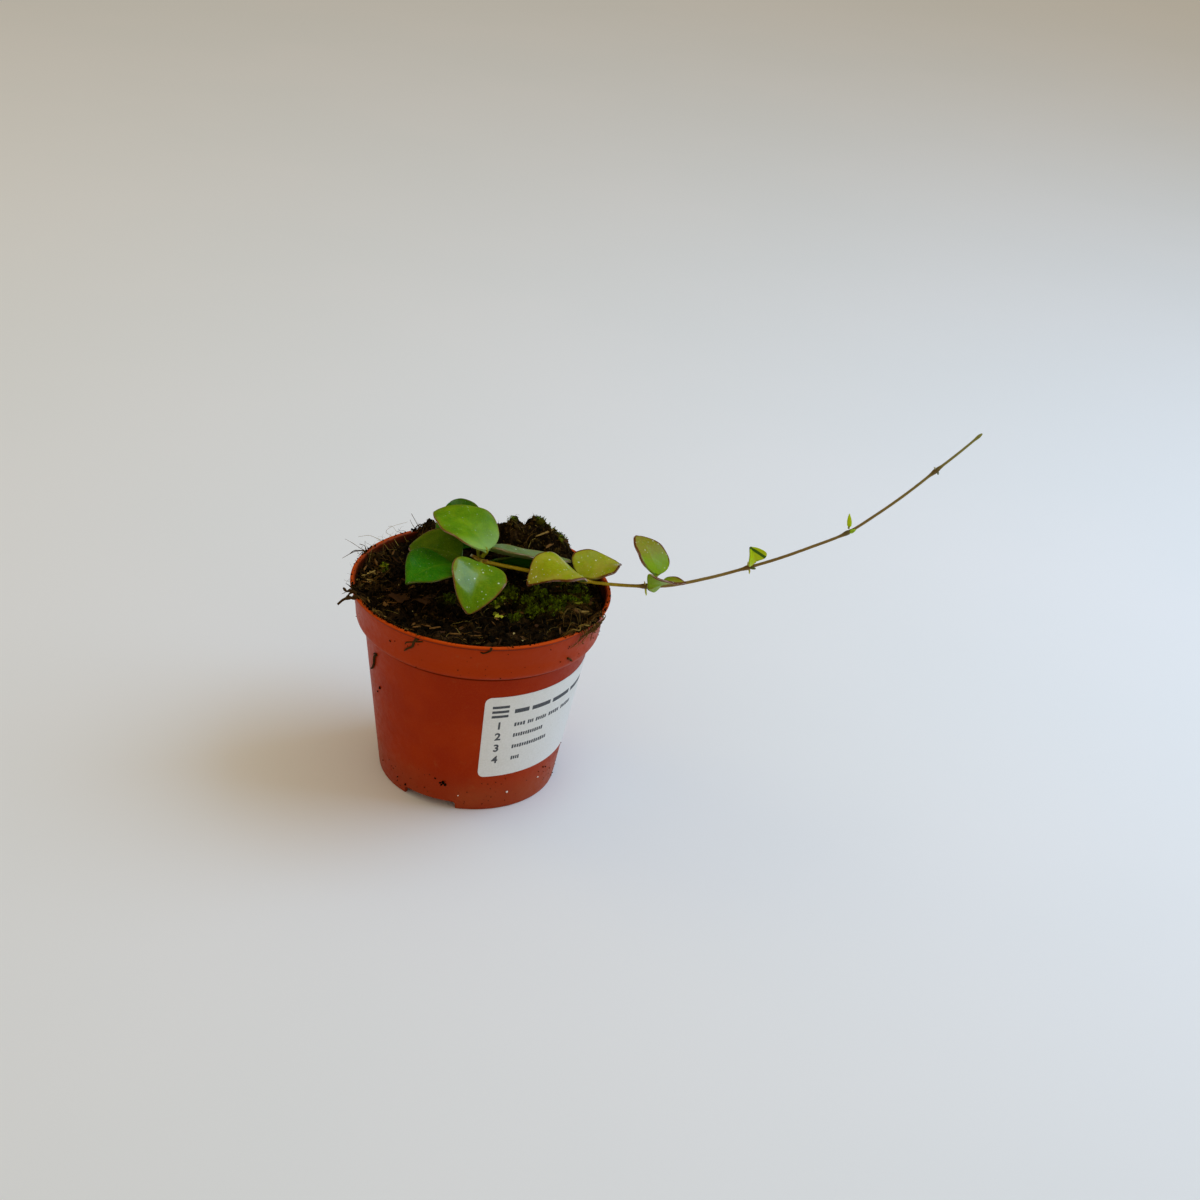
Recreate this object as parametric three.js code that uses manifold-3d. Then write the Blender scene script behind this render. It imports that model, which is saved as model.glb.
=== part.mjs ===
// A young hoya cutting in a 9 cm nursery pot, in millimetres, +Z up.
// The origin is the middle of the pot's underside. The viewer stands on the -Y side and
// the long runner reaches out to +X. Azimuths are measured from -Y towards +X.
import * as THREE from 'three';
import { mergeVertices } from 'three/addons/utils/BufferGeometryUtils.js';
import Module from 'manifold-3d';

const wasm = await Module();
wasm.setup();

// Driving dimensions of the pot
const potHeight = 72;
const rimRadius = 45;
const lipHeight = 1.3;
const lipOverhang = 0.8;
const lipRounding = 0.3;
const collarRadius = 42.2;
const collarStart = 59.6;
const collarMiddle = { radius: 43.3, height: 66.6 };
const creaseRadius = 39.3;
const creaseHeight = 57.4;
const baseRadius = 31.3;
const baseRounding = 0.9;
const wall = 1;
const floorRounding = 0.35;
const floorUnderside = 3.2;
const padRadius = 8;
const padSlope = 3;
const skirtThickness = 1.3;
const potSegments = 48;

// Drain holes in the floor and gaps in the skirt below it
const drainHoles = 6;
const drainHoleRadius = 3;
const drainHoleCircle = 20;
const skirtGaps = 3;
const skirtGapHeight = 2.9;
const skirtGapArc = 36;
const skirtGapMiddle = -23;

// Label stuck round the front right of the pot. Its columns crowd towards its two ends
const labelHeight = 34.5;
const labelStart = 7;
const labelArc = 101;
const labelMiddle = 32.3;
const labelSlope = 0.03;
const labelThickness = 0.6;
const labelCorner = 2.4;
const labelColumns = 28;
const labelRows = 4;
const labelCrowding = 0.8;

// Peat: level, its two heaps and the unevenness of its surface
const peatLevel = 70.4;
const peatEdgeLevel = 68.8;
const peatRings = 11;
const peatSegments = 48;
const heap = { x: 15.4, y: 26, width: 15.6, depth: 9.5, height: 14 };
const hump = { x: -19, y: 32, width: 5, depth: 5, height: 7 };
const rightDip = 1.4;
const leftDip = 0.5;
const clodHeight = 0.8;

// Plant: stem and runner thickness, petioles, leaf thickness
const gap = 0.3;
const cuttingRadius = 0.95;
const cuttingDepth = 9;
const runnerRadius = 0.58;
const tipRadius = 0.36;
const spurRadius = 0.42;
const petioleRadius = 0.6;
const petioleStep = 1.5;
const bladeThickness = 1;
const marginThickness = 0.6;
const narrowestHalf = 0.35;
const bladeRows = 12;
const bladeColumns = 6;
const stemSides = 6;
const stemStep = 4;

// Stations along the plant: the top node of the cutting, the runner's nodes and its tip
const crown = [-1, -4.5, 83.3];
const stub = [-5, -4.2, 85.4];
const nodeTwo = [34.6, -3.5, 78.6];
const nodeThree = [56.3, -3, 78.2];
const nodeFour = [91.4, 5, 84.6];
const nodeFive = [124.4, 10, 98.6];
const nodeSix = [151.8, 14, 123];
const runnerTip = [164, 15.9, 135.4];

const colours = {
  pot: 0xa2451a,
  label: 0xd5d6d1,
  peat: 0x2b1d13,
  stem: 0x73601f,
  lit: 0x6f9424,
  deep: 0x2f6a12,
  olive: 0x8f9236,
  young: 0x8fa61f,
};

const vector = (list) => new THREE.Vector3(...list);
const radians = THREE.MathUtils.degToRad;

function solid(geometry) {
  // A closed three.js geometry as a solid that can be joined and cut
  const bare = geometry.clone();
  bare.deleteAttribute('normal');
  bare.deleteAttribute('uv');
  const merged = mergeVertices(bare, 1e-4);
  return new wasm.Manifold(new wasm.Mesh({
    numProp: 3,
    vertProperties: new Float32Array(merged.attributes.position.array),
    triVerts: new Uint32Array(merged.index.array),
  }));
}

function meshOf(body, name, colour, roughness, metalness = 0) {
  const { vertProperties, triVerts } = body.getMesh();
  const geometry = new THREE.BufferGeometry();
  geometry.setAttribute('position', new THREE.BufferAttribute(new Float32Array(vertProperties), 3));
  geometry.setIndex(new THREE.BufferAttribute(new Uint32Array(triVerts), 1));
  geometry.computeVertexNormals();
  const material = new THREE.MeshStandardMaterial({ color: colour, roughness, metalness });
  const mesh = new THREE.Mesh(geometry, material);
  mesh.name = name;
  return mesh;
}

function lathe(profile, segments) {
  // A profile of [radius, height] pairs turned round the Z axis
  const points = profile.map(([r, z]) => new THREE.Vector2(r, z));
  const geometry = new THREE.LatheGeometry(points, segments);
  return geometry.rotateX(Math.PI / 2);
}

function sheet(columns, rows, middle, halfThickness) {
  // A closed sheet round a middle surface, split alike on both faces
  const grid = new THREE.PlaneGeometry(1, 1, columns, rows);
  const uv = grid.attributes.uv;
  const count = uv.count;
  const step = 1e-3;
  const positions = new Float32Array(count * 6);
  for (let i = 0; i < count; i += 1) {
    const u = uv.getX(i);
    const v = uv.getY(i);
    const centre = middle(u, v);
    const alongU = middle(u + step, v).sub(middle(u - step, v));
    const alongV = middle(u, v + step).sub(middle(u, v - step));
    const offset = alongU.cross(alongV).setLength(halfThickness(u, v));
    centre.clone().add(offset).toArray(positions, i * 3);
    centre.clone().sub(offset).toArray(positions, (count + i) * 3);
  }
  const index = [...grid.index.array];
  for (let k = 0; k < grid.index.count; k += 3) {
    const [a, b, c] = grid.index.array.slice(k, k + 3);
    index.push(count + a, count + c, count + b);
  }
  const rim = rimOf(columns, rows);
  rim.forEach((a, k) => {
    const b = rim[(k + 1) % rim.length];
    index.push(count + a, count + b, b, count + a, b, a);
  });
  const geometry = new THREE.BufferGeometry();
  geometry.setAttribute('position', new THREE.BufferAttribute(positions, 3));
  geometry.setIndex(index);
  return geometry;
}

function rimOf(columns, rows) {
  // The outer vertices of a plane grid, anticlockwise
  const at = (column, row) => row * (columns + 1) + column;
  const rim = [];
  for (let c = 0; c < columns; c += 1) {
    rim.push(at(c, rows));
  }
  for (let r = rows; r > 0; r -= 1) {
    rim.push(at(columns, r));
  }
  for (let c = columns; c > 0; c -= 1) {
    rim.push(at(c, 0));
  }
  for (let r = 0; r < rows; r += 1) {
    rim.push(at(0, r));
  }
  return rim;
}

function tube(points, radius, sides = stemSides, step = stemStep) {
  // A round stem along a smooth curve through the points
  const curve = new THREE.CatmullRomCurve3(points.map(vector), false, 'centripetal');
  const steps = Math.max(2, Math.round(curve.getLength() / step));
  const section = new THREE.Shape();
  for (let i = 0; i < sides; i += 1) {
    const angle = (i / sides) * 2 * Math.PI;
    const corner = new THREE.Vector2(radius * Math.cos(angle), radius * Math.sin(angle));
    if (i === 0) {
      section.moveTo(corner.x, corner.y);
    } else {
      section.lineTo(corner.x, corner.y);
    }
  }
  section.closePath();
  const options = { steps, extrudePath: curve, bevelEnabled: false };
  return solid(new THREE.ExtrudeGeometry(section, options));
}

function between(from, to, base, tip, sides) {
  // A straight cone from one point to another
  const a = vector(from);
  const b = vector(to);
  const geometry = new THREE.CylinderGeometry(tip, base, a.distanceTo(b), sides);
  const turn = new THREE.Quaternion().setFromUnitVectors(
    new THREE.Vector3(0, 1, 0),
    b.clone().sub(a).normalize(),
  );
  geometry.applyQuaternion(turn);
  const middle = a.add(b).multiplyScalar(0.5);
  return solid(geometry.translate(middle.x, middle.y, middle.z));
}

function swelling(at, along, length, radius) {
  // A thickened node: an ellipsoid drawn out along the stem
  const geometry = new THREE.SphereGeometry(1, stemSides, 6);
  geometry.scale(radius, length / 2, radius);
  const turn = new THREE.Quaternion().setFromUnitVectors(
    new THREE.Vector3(0, 1, 0),
    vector(along).normalize(),
  );
  geometry.applyQuaternion(turn);
  return solid(geometry.translate(...at));
}

// Pot
function outerWall() {
  const lipRadius = rimRadius - lipOverhang;
  return [
    [baseRadius - baseRounding, 0],
    [baseRadius - 0.25 * baseRounding, 0.25 * baseRounding],
    [baseRadius + 0.02, baseRounding],
    [creaseRadius, creaseHeight],
    [creaseRadius + 1.6, creaseHeight + 0.6],
    [collarRadius - 0.4, collarStart - 0.8],
    [collarRadius, collarStart],
    [collarRadius + 0.5, collarStart + 3],
    [collarMiddle.radius, collarMiddle.height],
    [lipRadius, potHeight - lipHeight - lipRounding],
    [rimRadius - lipRounding, potHeight - lipHeight],
    [rimRadius, potHeight - 0.7 * lipHeight],
    [rimRadius, potHeight - 0.25 * lipHeight],
    [rimRadius - lipRounding, potHeight],
  ];
}

function innerWall(inset) {
  // From the rim down to the floor, and across the floor to the sunken middle
  const floor = floorUnderside + wall + inset;
  const shell = wall + inset;
  return [
    [rimRadius - lipOverhang - shell + 0.1, potHeight],
    [rimRadius - lipOverhang - shell, potHeight - lipHeight],
    [collarMiddle.radius - shell, collarMiddle.height],
    [collarRadius - shell, collarStart + 0.5],
    [creaseRadius - shell, creaseHeight + 0.4],
    [baseRadius + floorRounding - shell, floor],
    [padRadius + padSlope - inset, floor],
    [padRadius - inset, wall + inset],
  ];
}

function potBody() {
  const padFoot = padRadius + 0.6;
  const underside = [
    [0, 0],
    [padFoot, 0],
    [padFoot + padSlope, floorUnderside],
    [baseRadius - skirtThickness, floorUnderside],
    [baseRadius - skirtThickness, 0],
  ];
  let body = solid(lathe([...underside, ...outerWall(), ...innerWall(0), [0, wall]], potSegments));
  const hole = new THREE.CylinderGeometry(drainHoleRadius, drainHoleRadius, 4 * wall, 16);
  hole.rotateX(Math.PI / 2).translate(0, -drainHoleCircle, floorUnderside + wall / 2);
  for (let i = 0; i < drainHoles; i += 1) {
    const turned = hole.clone().rotateZ(((i + 0.5) / drainHoles) * 2 * Math.PI);
    body = body.subtract(solid(turned));
  }
  for (let i = 0; i < skirtGaps; i += 1) {
    body = body.subtract(solid(skirtGap(skirtGapMiddle + (i * 360) / skirtGaps)));
  }
  return body;
}

function skirtGap(azimuth) {
  // A wedge of a ring, which leaves a low arch in the skirt
  const inner = baseRadius - 2 * skirtThickness;
  const outer = baseRadius + 2;
  const half = radians(skirtGapArc / 2);
  const middle = radians(azimuth - 90);
  const outline = new THREE.Shape();
  outline.absarc(0, 0, outer, middle - half, middle + half, false);
  outline.absarc(0, 0, inner, middle + half, middle - half, true);
  const depth = skirtGapHeight + 1;
  const wedge = new THREE.ExtrudeGeometry(outline, { depth, bevelEnabled: false, curveSegments: 8 });
  return wedge.translate(0, 0, -1);
}

// Label
function bodyRadius(z) {
  return baseRadius + ((creaseRadius - baseRadius) * z) / creaseHeight;
}

function labelSheet() {
  const arcRadius = bodyRadius(labelMiddle);
  const length = radians(labelArc) * arcRadius;
  const middle = (u, v) => {
    const along = THREE.MathUtils.clamp(u, 0, 1) * length;
    const toEnd = Math.min(along, length - along);
    const into = Math.max(0, labelCorner - toEnd);
    const cut = labelCorner - Math.sqrt(labelCorner ** 2 - into ** 2);
    const half = labelHeight / 2 - cut;
    const z = labelMiddle + labelSlope * along + (2 * v - 1) * half;
    const azimuth = radians(labelStart) + (u * length) / arcRadius;
    const r = bodyRadius(z) + gap + labelThickness / 2;
    return new THREE.Vector3(r * Math.sin(azimuth), -r * Math.cos(azimuth), z);
  };
  const crowd = (u) => u - (labelCrowding * Math.sin(2 * Math.PI * u)) / (2 * Math.PI);
  return sheet(
    labelColumns,
    labelRows,
    (u, v) => middle(crowd(u), v),
    () => labelThickness / 2,
  );
}

// Peat
function peatHeight(x, y) {
  const bump = ({ x: cx, y: cy, width, depth, height }) => {
    const reach = ((x - cx) / width) ** 4 + ((y - cy) / depth) ** 2;
    return height * Math.exp(-reach);
  };
  const dip = rightDip * THREE.MathUtils.smoothstep(x, 10, 40)
    + leftDip * THREE.MathUtils.smoothstep(-x, 10, 35);
  const clods = Math.sin(0.61 * x + 0.35 * y) * Math.cos(0.53 * y - 0.21 * x + 1.3)
    + 0.7 * Math.sin(1.07 * x - 0.83 * y + 2.1) * Math.sin(0.94 * y + 0.6);
  return peatLevel - dip + bump(heap) + bump(hump) + clodHeight * clods;
}

function peatBody() {
  const wallSide = innerWall(gap).slice(2).reverse();
  const edge = rimRadius - 2 * wall - gap - lipOverhang;
  const rings = Array.from({ length: peatRings }, (_, i) => [
    edge * (1 - ((i + 0.5) / peatRings) ** 1.1),
    potHeight,
  ]);
  const profile = [[0, wall + gap], ...wallSide, [edge, peatEdgeLevel], ...rings, [0, potHeight]];
  const geometry = lathe(profile, peatSegments);
  const position = geometry.attributes.position;
  for (let i = 0; i < position.count; i += 1) {
    if (position.getZ(i) > potHeight - 0.01) {
      position.setZ(i, peatHeight(position.getX(i), position.getY(i)));
    }
  }
  return solid(geometry);
}

// Stems
function cuttingPath(extra) {
  // The old wood, from its end down in the peat up to the cut stub above the crown
  const [x, y] = crown;
  return [
    [x + 1.5, y + 1.8, peatLevel - cuttingDepth - extra],
    [x + 1.5, y + 1.7, peatLevel - 2],
    [x + 1, y + 1, peatLevel + 5],
    crown,
    stub,
  ];
}

function runnerParts() {
  // The runner from node to node, thinner step by step
  return [
    { points: [crown, [7.6, -4.3, 82.1], [19.7, -3.9, 80.4], nodeTwo], radius: runnerRadius },
    { points: [nodeTwo, [40.5, -3.4, 78.1], [47.4, -3.2, 77.9], nodeThree], radius: runnerRadius },
    { points: [nodeThree, [64.7, -1.1, 78.3], [78.4, 2, 81], nodeFour], radius: 0.52 },
    { points: [nodeFour, [102.2, 6.6, 88.5], [112.2, 8.1, 92.8], nodeFive], radius: 0.46 },
    { points: [nodeFive, [133.2, 11.2, 105.5], [142.6, 12.6, 113.8], nodeSix], radius: 0.43 },
    { points: [nodeSix, [158.4, 15, 129.6], runnerTip], radius: tipRadius },
  ];
}

function spur(at, to) {
  // A short aerial rootlet or a bud
  return between(at, to, spurRadius, spurRadius / 2, 5);
}

function stemBody() {
  let body = tube(cuttingPath(0), cuttingRadius);
  runnerParts().forEach(({ points, radius }) => {
    body = body.add(tube(points, radius));
  });
  const nodes = [
    [crown, [1, 0.3, -0.4], 5, 1.35],
    [nodeTwo, [1, 0, 0], 4, 0.85],
    [nodeThree, [1, 0.1, -0.1], 5.4, 0.95],
    [nodeFour, [1, 0.2, 0.3], 5, 0.9],
    [nodeFive, [1, 0.2, 0.6], 4.6, 0.8],
    [nodeSix, [1, 0.2, 1], 6.4, 0.9],
    [runnerTip, [1, 0.2, 1], 3, 0.5],
  ];
  nodes.forEach(([at, along, length, radius]) => {
    body = body.add(swelling(at, along, length, radius));
  });
  const spurs = [
    [nodeThree, 0.6, -0.6, -3],
    [nodeThree, -1.2, 0.6, 2.6],
    [nodeFour, 0.5, -0.6, -1.9],
    [nodeFour, -0.9, 0.4, 1.7],
    [nodeFive, 0.9, -0.4, 1.5],
    [nodeFive, 0.4, -0.4, -1.2],
    [nodeSix, -0.8, -0.2, 1.1],
  ];
  spurs.forEach(([[x, y, z], dx, dy, dz]) => {
    body = body.add(spur([x, y, z], [x + dx, y + dy, z + dz]));
  });
  return body;
}

// Leaves
function bladeShape(leaf) {
  // The blade's middle surface. u runs across, from margin to margin, v from base to tip
  const base = vector(leaf.base);
  const chord = vector(leaf.tip).sub(base);
  const length = chord.length();
  const along = chord.clone().normalize();
  const up = new THREE.Vector3(0, 0, 1).projectOnPlane(along).normalize();
  const side = along.clone().cross(up);
  const frame = (angle) => ({
    normal: up.clone().multiplyScalar(Math.cos(angle)).addScaledVector(side, Math.sin(angle)),
    across: side.clone().multiplyScalar(Math.cos(angle)).addScaledVector(up, -Math.sin(angle)),
  });
  const roll = radians(leaf.roll);
  const twist = radians(leaf.twist ?? 0);
  const { peak = 0.6, full = 0.75, fold = 0, cup = 0 } = leaf;
  return (u, v) => {
    const reach = 0.5 - 0.5 * Math.cos(Math.PI * v);
    const t = THREE.MathUtils.clamp(reach, 0, 1);
    const q = 1 - 2 * u;
    const swell = Math.sin(Math.PI * t ** peak) ** full;
    const half = Math.max(narrowestHalf, (leaf.width / 2) * swell);
    const { normal, across } = frame(roll + twist * (t - 0.5));
    const lift = half * (fold * Math.abs(q) - cup * q * q);
    return base.clone()
      .addScaledVector(chord, reach)
      .addScaledVector(frame(roll).normal, leaf.arch * length * 4 * t * (1 - t))
      .addScaledVector(across, q * half)
      .addScaledVector(normal, lift);
  };
}

function leafBody(leaf) {
  const middle = bladeShape(leaf);
  const { thickness = bladeThickness, petiole = petioleRadius } = leaf;
  const halfThickness = (u) => {
    const toMargin = Math.abs(1 - 2 * u);
    return THREE.MathUtils.lerp(thickness, marginThickness, toMargin ** 3) / 2;
  };
  const blade = solid(sheet(bladeColumns, bladeRows, middle, halfThickness));
  const points = [leaf.from, leaf.base, middle(0.5, 0.2).toArray()];
  return blade.add(tube(points, petiole, stemSides, petioleStep));
}

const leaves = [
  {
    name: 'leaf_crown_upper',
    from: [-0.5, -4.7, 85.1],
    base: [1, -5, 87.6],
    tip: [-18, 10.3, 93],
    width: 22,
    roll: -4.5,
    arch: 0.16,
    fold: 0.2,
    twist: -32,
    colour: colours.lit,
  },
  {
    name: 'leaf_crown_back',
    from: [-1.5, -2.5, 83.7],
    base: [-2.9, 7, 83.5],
    tip: [-12.9, 24, 89.8],
    width: 18.2,
    roll: -46,
    arch: 0.16,
    fold: 0.48,
    colour: colours.deep,
  },
  {
    name: 'leaf_left_back',
    from: [-2.2, -2.8, 81.6],
    base: [-7.6, 1, 81.4],
    tip: [-25.6, 5, 81.3],
    width: 19.7,
    roll: -26,
    arch: 0.07,
    fold: 0.22,
    twist: -5,
    full: 0.67,
    colour: colours.olive,
  },
  {
    name: 'leaf_left_front',
    from: [-1.9, -4.5, 80.2],
    base: [-9.7, -5.8, 81.3],
    tip: [-25, -19.8, 80.2],
    width: 22,
    roll: -4,
    arch: 0.12,
    fold: 0.23,
    twist: -9,
    peak: 0.67,
    full: 0.73,
    colour: colours.deep,
  },
  {
    name: 'leaf_front',
    from: [-0.9, -6.2, 83.6],
    base: [-0.6, -10.6, 85.4],
    tip: [-3.5, -28.6, 75.6],
    width: 19.2,
    roll: -15,
    arch: 0.12,
    fold: 0.22,
    twist: 8,
    peak: 0.55,
    full: 0.6,
    colour: colours.lit,
  },
  {
    name: 'leaf_right_low',
    from: [0, -2.6, 80.3],
    base: [1.5, 4, 78.3],
    tip: [22.6, 9.4, 75.2],
    width: 12.6,
    roll: -42,
    arch: 0.03,
    fold: 0.06,
    twist: -20,
    colour: colours.deep,
  },
  {
    name: 'leaf_right_high',
    from: [-0.2, -2.8, 84.2],
    base: [1.2, 0, 85.4],
    tip: [30.2, 4.3, 80.3],
    width: 16.3,
    roll: -15,
    arch: -0.03,
    fold: 0.23,
    full: 0.7,
    twist: 14,
    colour: colours.deep,
  },
  {
    name: 'leaf_two_front',
    from: [34.4, -4.5, 79.3],
    base: [34, -6.5, 80.3],
    tip: [15.4, -15, 80.8],
    width: 20,
    roll: -4,
    arch: 0.31,
    fold: 0.07,
    twist: -30,
    peak: 0.65,
    full: 0.6,
    colour: colours.olive,
  },
  {
    name: 'leaf_two_back',
    from: [34.1, -1.3, 79.0],
    base: [33.4, 0.8, 77.7],
    tip: [48.2, 11, 78.4],
    width: 19.4,
    roll: 1.5,
    arch: 0.12,
    fold: 0.3,
    peak: 0.58,
    full: 0.85,
    colour: colours.olive,
  },
  {
    name: 'leaf_three_upright',
    from: [57.1, -2.5, 79.6],
    base: [59.6, -2, 82.4],
    tip: [51.5, 8.9, 91],
    width: 14.2,
    roll: 8,
    arch: 0.12,
    fold: 0.24,
    twist: -23,
    full: 0.64,
    peak: 0.58,
    colour: colours.lit,
  },
  {
    name: 'leaf_three_forward',
    from: [57, -5.2, 79.2],
    base: [57.1, -9, 80.9],
    tip: [69.1, -10.4, 84.4],
    width: 13.3,
    roll: -18,
    arch: 0.09,
    fold: 0.26,
    twist: 83,
    peak: 0.34,
    full: 0.82,
    colour: colours.olive,
  },
  {
    name: 'young_leaf_four',
    from: [92.6, 5, 86.2],
    base: [93.8, 5, 87.3],
    tip: [90.9, 4, 93],
    width: 7.6,
    roll: -80,
    arch: 0.06,
    fold: 0.7,
    twist: 22,
    petiole: 0.45,
    thickness: 0.8,
    colour: colours.young,
  },
  {
    name: 'young_leaf_five',
    from: [124.7, 10, 100.4],
    base: [124.8, 10, 101.2],
    tip: [124.2, 10.3, 105.9],
    width: 1.7,
    roll: 90,
    arch: 0,
    fold: 0.2,
    petiole: 0.4,
    thickness: 0.6,
    colour: colours.young,
  },
];

const model = new THREE.Group();
model.add(meshOf(potBody(), 'pot', colours.pot, 0.45));
model.add(meshOf(solid(labelSheet()), 'label', colours.label, 0.6));
const stem = stemBody();
const socket = tube(cuttingPath(gap), cuttingRadius + gap);
model.add(meshOf(peatBody().subtract(socket), 'peat', colours.peat, 0.95));
model.add(meshOf(stem, 'stem', colours.stem, 0.6));
leaves.forEach((leaf) => {
  model.add(meshOf(leafBody(leaf), leaf.name, leaf.colour, 0.35));
});

export default model;
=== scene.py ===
import math

import bpy
import numpy as np
from mathutils import Matrix


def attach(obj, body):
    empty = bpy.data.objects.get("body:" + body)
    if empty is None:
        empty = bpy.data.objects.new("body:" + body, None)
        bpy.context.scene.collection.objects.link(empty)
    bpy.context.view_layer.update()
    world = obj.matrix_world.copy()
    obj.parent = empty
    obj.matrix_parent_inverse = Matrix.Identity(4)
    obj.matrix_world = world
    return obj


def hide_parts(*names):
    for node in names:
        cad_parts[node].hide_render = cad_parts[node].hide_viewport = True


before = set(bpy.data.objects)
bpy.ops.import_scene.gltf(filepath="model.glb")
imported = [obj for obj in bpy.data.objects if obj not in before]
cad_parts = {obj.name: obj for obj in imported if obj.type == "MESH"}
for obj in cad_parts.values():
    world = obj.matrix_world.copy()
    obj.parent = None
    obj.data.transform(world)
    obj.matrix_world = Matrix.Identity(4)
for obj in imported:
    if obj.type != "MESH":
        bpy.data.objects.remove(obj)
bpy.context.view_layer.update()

# A young hoya cutting in a nursery pot. Shapes are worked out in millimetres and stored in
# metres. Azimuths are in degrees, measured from -Y towards +X.
MM = 0.001
rng = np.random.default_rng(20)


# Small mathematics
def unit(vector):
    return vector / np.linalg.norm(vector)


def smooth(low, high, value):
    t = np.clip((value - low) / (high - low), 0, 1)
    return t * t * (3 - 2 * t)


def noise(points, seed=0):
    """Smooth value noise between -1 and 1 at each row of points, one cell per unit.

    Large primes mix each corner's place and the seed into a value of its own.
    """
    cell = np.floor(points).astype(np.int64)
    part = points - cell
    part = part * part * (3 - 2 * part)
    total = np.zeros(len(points))
    for corner in np.ndindex(2, 2, 2):
        x, y, z = (cell[:, i] + corner[i] for i in range(3))
        mixed = (x * 73856093) ^ (y * 19349663) ^ (z * 83492791) ^ (seed * 2654435761)
        mixed = ((mixed ^ (mixed >> 13)) * 1274126177) & 0x7FFFFFFF
        mixed = (mixed ^ (mixed >> 15)) & 0xFFFF
        weight = np.ones(len(points))
        for i in range(3):
            weight = weight * (part[:, i] if corner[i] else 1 - part[:, i])
        total += weight * (mixed / 32767.5 - 1)
    return total


def run(points, power=1.0):
    """How far along the line of points each of them lies."""
    steps = np.linalg.norm(np.diff(points, axis=0), axis=1) ** power
    return np.concatenate([[0], np.cumsum(steps)])


def mix(first, second, t, low, high):
    """Runs from the first to the second as t runs from low to high."""
    return (high - t) / (high - low) * first + (t - low) / (high - low) * second


def curve(points, count):
    """A smooth curve through the points, with count points evenly spaced along it."""
    points = np.asarray(points, float)
    full = np.vstack([2 * points[0] - points[1], points, 2 * points[-1] - points[-2]])
    knots = run(full, 0.5)
    fine = []
    for i in range(1, len(full) - 2):
        t0, t1, t2, t3 = knots[i - 1:i + 3]
        t = np.linspace(t1, t2, 40)[:, None]
        a1 = mix(full[i - 1], full[i], t, t0, t1)
        a2 = mix(full[i], full[i + 1], t, t1, t2)
        a3 = mix(full[i + 1], full[i + 2], t, t2, t3)
        fine.append(mix(mix(a1, a2, t, t0, t2), mix(a2, a3, t, t1, t3), t, t1, t2))
    fine = np.vstack(fine)
    length = run(fine)
    at = np.linspace(0, length[-1], count)
    return np.column_stack([np.interp(at, length, fine[:, i]) for i in range(3)])


def on_circle(radius, azimuth, z):
    """The place at a radius from the pot's middle, an azimuth and a height."""
    angle = np.radians(azimuth)
    return np.array([radius * np.sin(angle), -radius * np.cos(angle), z])


# Meshes
class Shells:
    """Collects closed shells into one mesh, with values for each point or each shell."""

    def __init__(self):
        self.points, self.faces, self.values, self.count = [], [], {}, 0

    def add(self, points, faces, **values):
        self.points.append(points)
        self.faces.extend(np.asarray(f) + self.count for f in faces)
        for name, value in values.items():
            value = np.asarray(value, float)
            if not value.ndim:
                value = np.full(len(points), value)
            self.values.setdefault(name, []).append(value.reshape(len(points), -1))
        self.count += len(points)

    def build(self, name, material, replaces=None, sharp=40.0):
        """Makes the piece; edges that turn by more than sharp degrees stay crisp."""
        points = np.vstack(self.points) * MM
        loops = np.concatenate([f.ravel() for f in self.faces])
        sizes = np.concatenate([np.full(len(f), f.shape[1]) for f in self.faces])
        mesh = bpy.data.meshes.new(name)
        mesh.vertices.add(len(points))
        mesh.vertices.foreach_set("co", points.astype(np.float32).ravel())
        mesh.loops.add(len(loops))
        mesh.loops.foreach_set("vertex_index", loops.astype(np.int32))
        mesh.polygons.add(len(sizes))
        starts = np.concatenate([[0], np.cumsum(sizes)[:-1]])
        mesh.polygons.foreach_set("loop_start", starts.astype(np.int32))
        mesh.update(calc_edges=True)
        for key, rows in self.values.items():
            value = np.vstack(rows).astype(np.float32)
            if value.shape[1] == 1:
                mesh.attributes.new(key, "FLOAT", "POINT").data.foreach_set("value", value.ravel())
            else:
                made = mesh.attributes.new(key, "FLOAT_VECTOR", "POINT")
                made.data.foreach_set("vector", value.ravel())
        mesh.polygons.foreach_set("use_smooth", np.ones(len(sizes), bool))
        mesh.set_sharp_from_angle(angle=math.radians(sharp))
        mesh.materials.append(material)
        piece = bpy.data.objects.new(name, mesh)
        bpy.context.scene.collection.objects.link(piece)
        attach(piece, "root")
        if replaces:
            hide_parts(replaces)
        return piece


def grid_faces(rows, columns, closed=False):
    """Quads over a grid of points, row by row; closed joins the last column to the first."""
    r = np.arange(rows - 1)[:, None]
    c = np.arange(columns if closed else columns - 1)[None, :]
    after = (c + 1) % columns
    quads = np.stack([
        r * columns + c, r * columns + after, (r + 1) * columns + after, (r + 1) * columns + c,
    ], axis=-1)
    return quads.reshape(-1, 4)


def capped_faces(rows, columns):
    """Faces over a stack of rings, closed at each end by one of the last two points."""
    turn = np.arange(columns)
    after = (turn + 1) % columns
    last, count = (rows - 1) * columns, rows * columns
    first = np.column_stack([after, turn, np.full(columns, count)])
    end = np.column_stack([last + turn, last + after, np.full(columns, count + 1)])
    return [grid_faces(rows, columns, closed=True), first, end]


def sheet(first, second):
    """A closed sheet between two grids of points. To face outward, the first lies on the side
    that its columns crossed with its rows point to."""
    rows, columns = first.shape[:2]
    count = rows * columns
    face = grid_faces(rows, columns)
    index = np.arange(count).reshape(rows, columns)
    ring = np.concatenate([index[0, :-1], index[:-1, -1], index[-1, :0:-1], index[:0:-1, 0]])
    after = np.roll(ring, -1)
    rim = np.column_stack([ring + count, after + count, after, ring])
    points = np.vstack([first.reshape(-1, 3), second.reshape(-1, 3)])
    return points, [face, face[:, ::-1] + count, rim]


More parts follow.
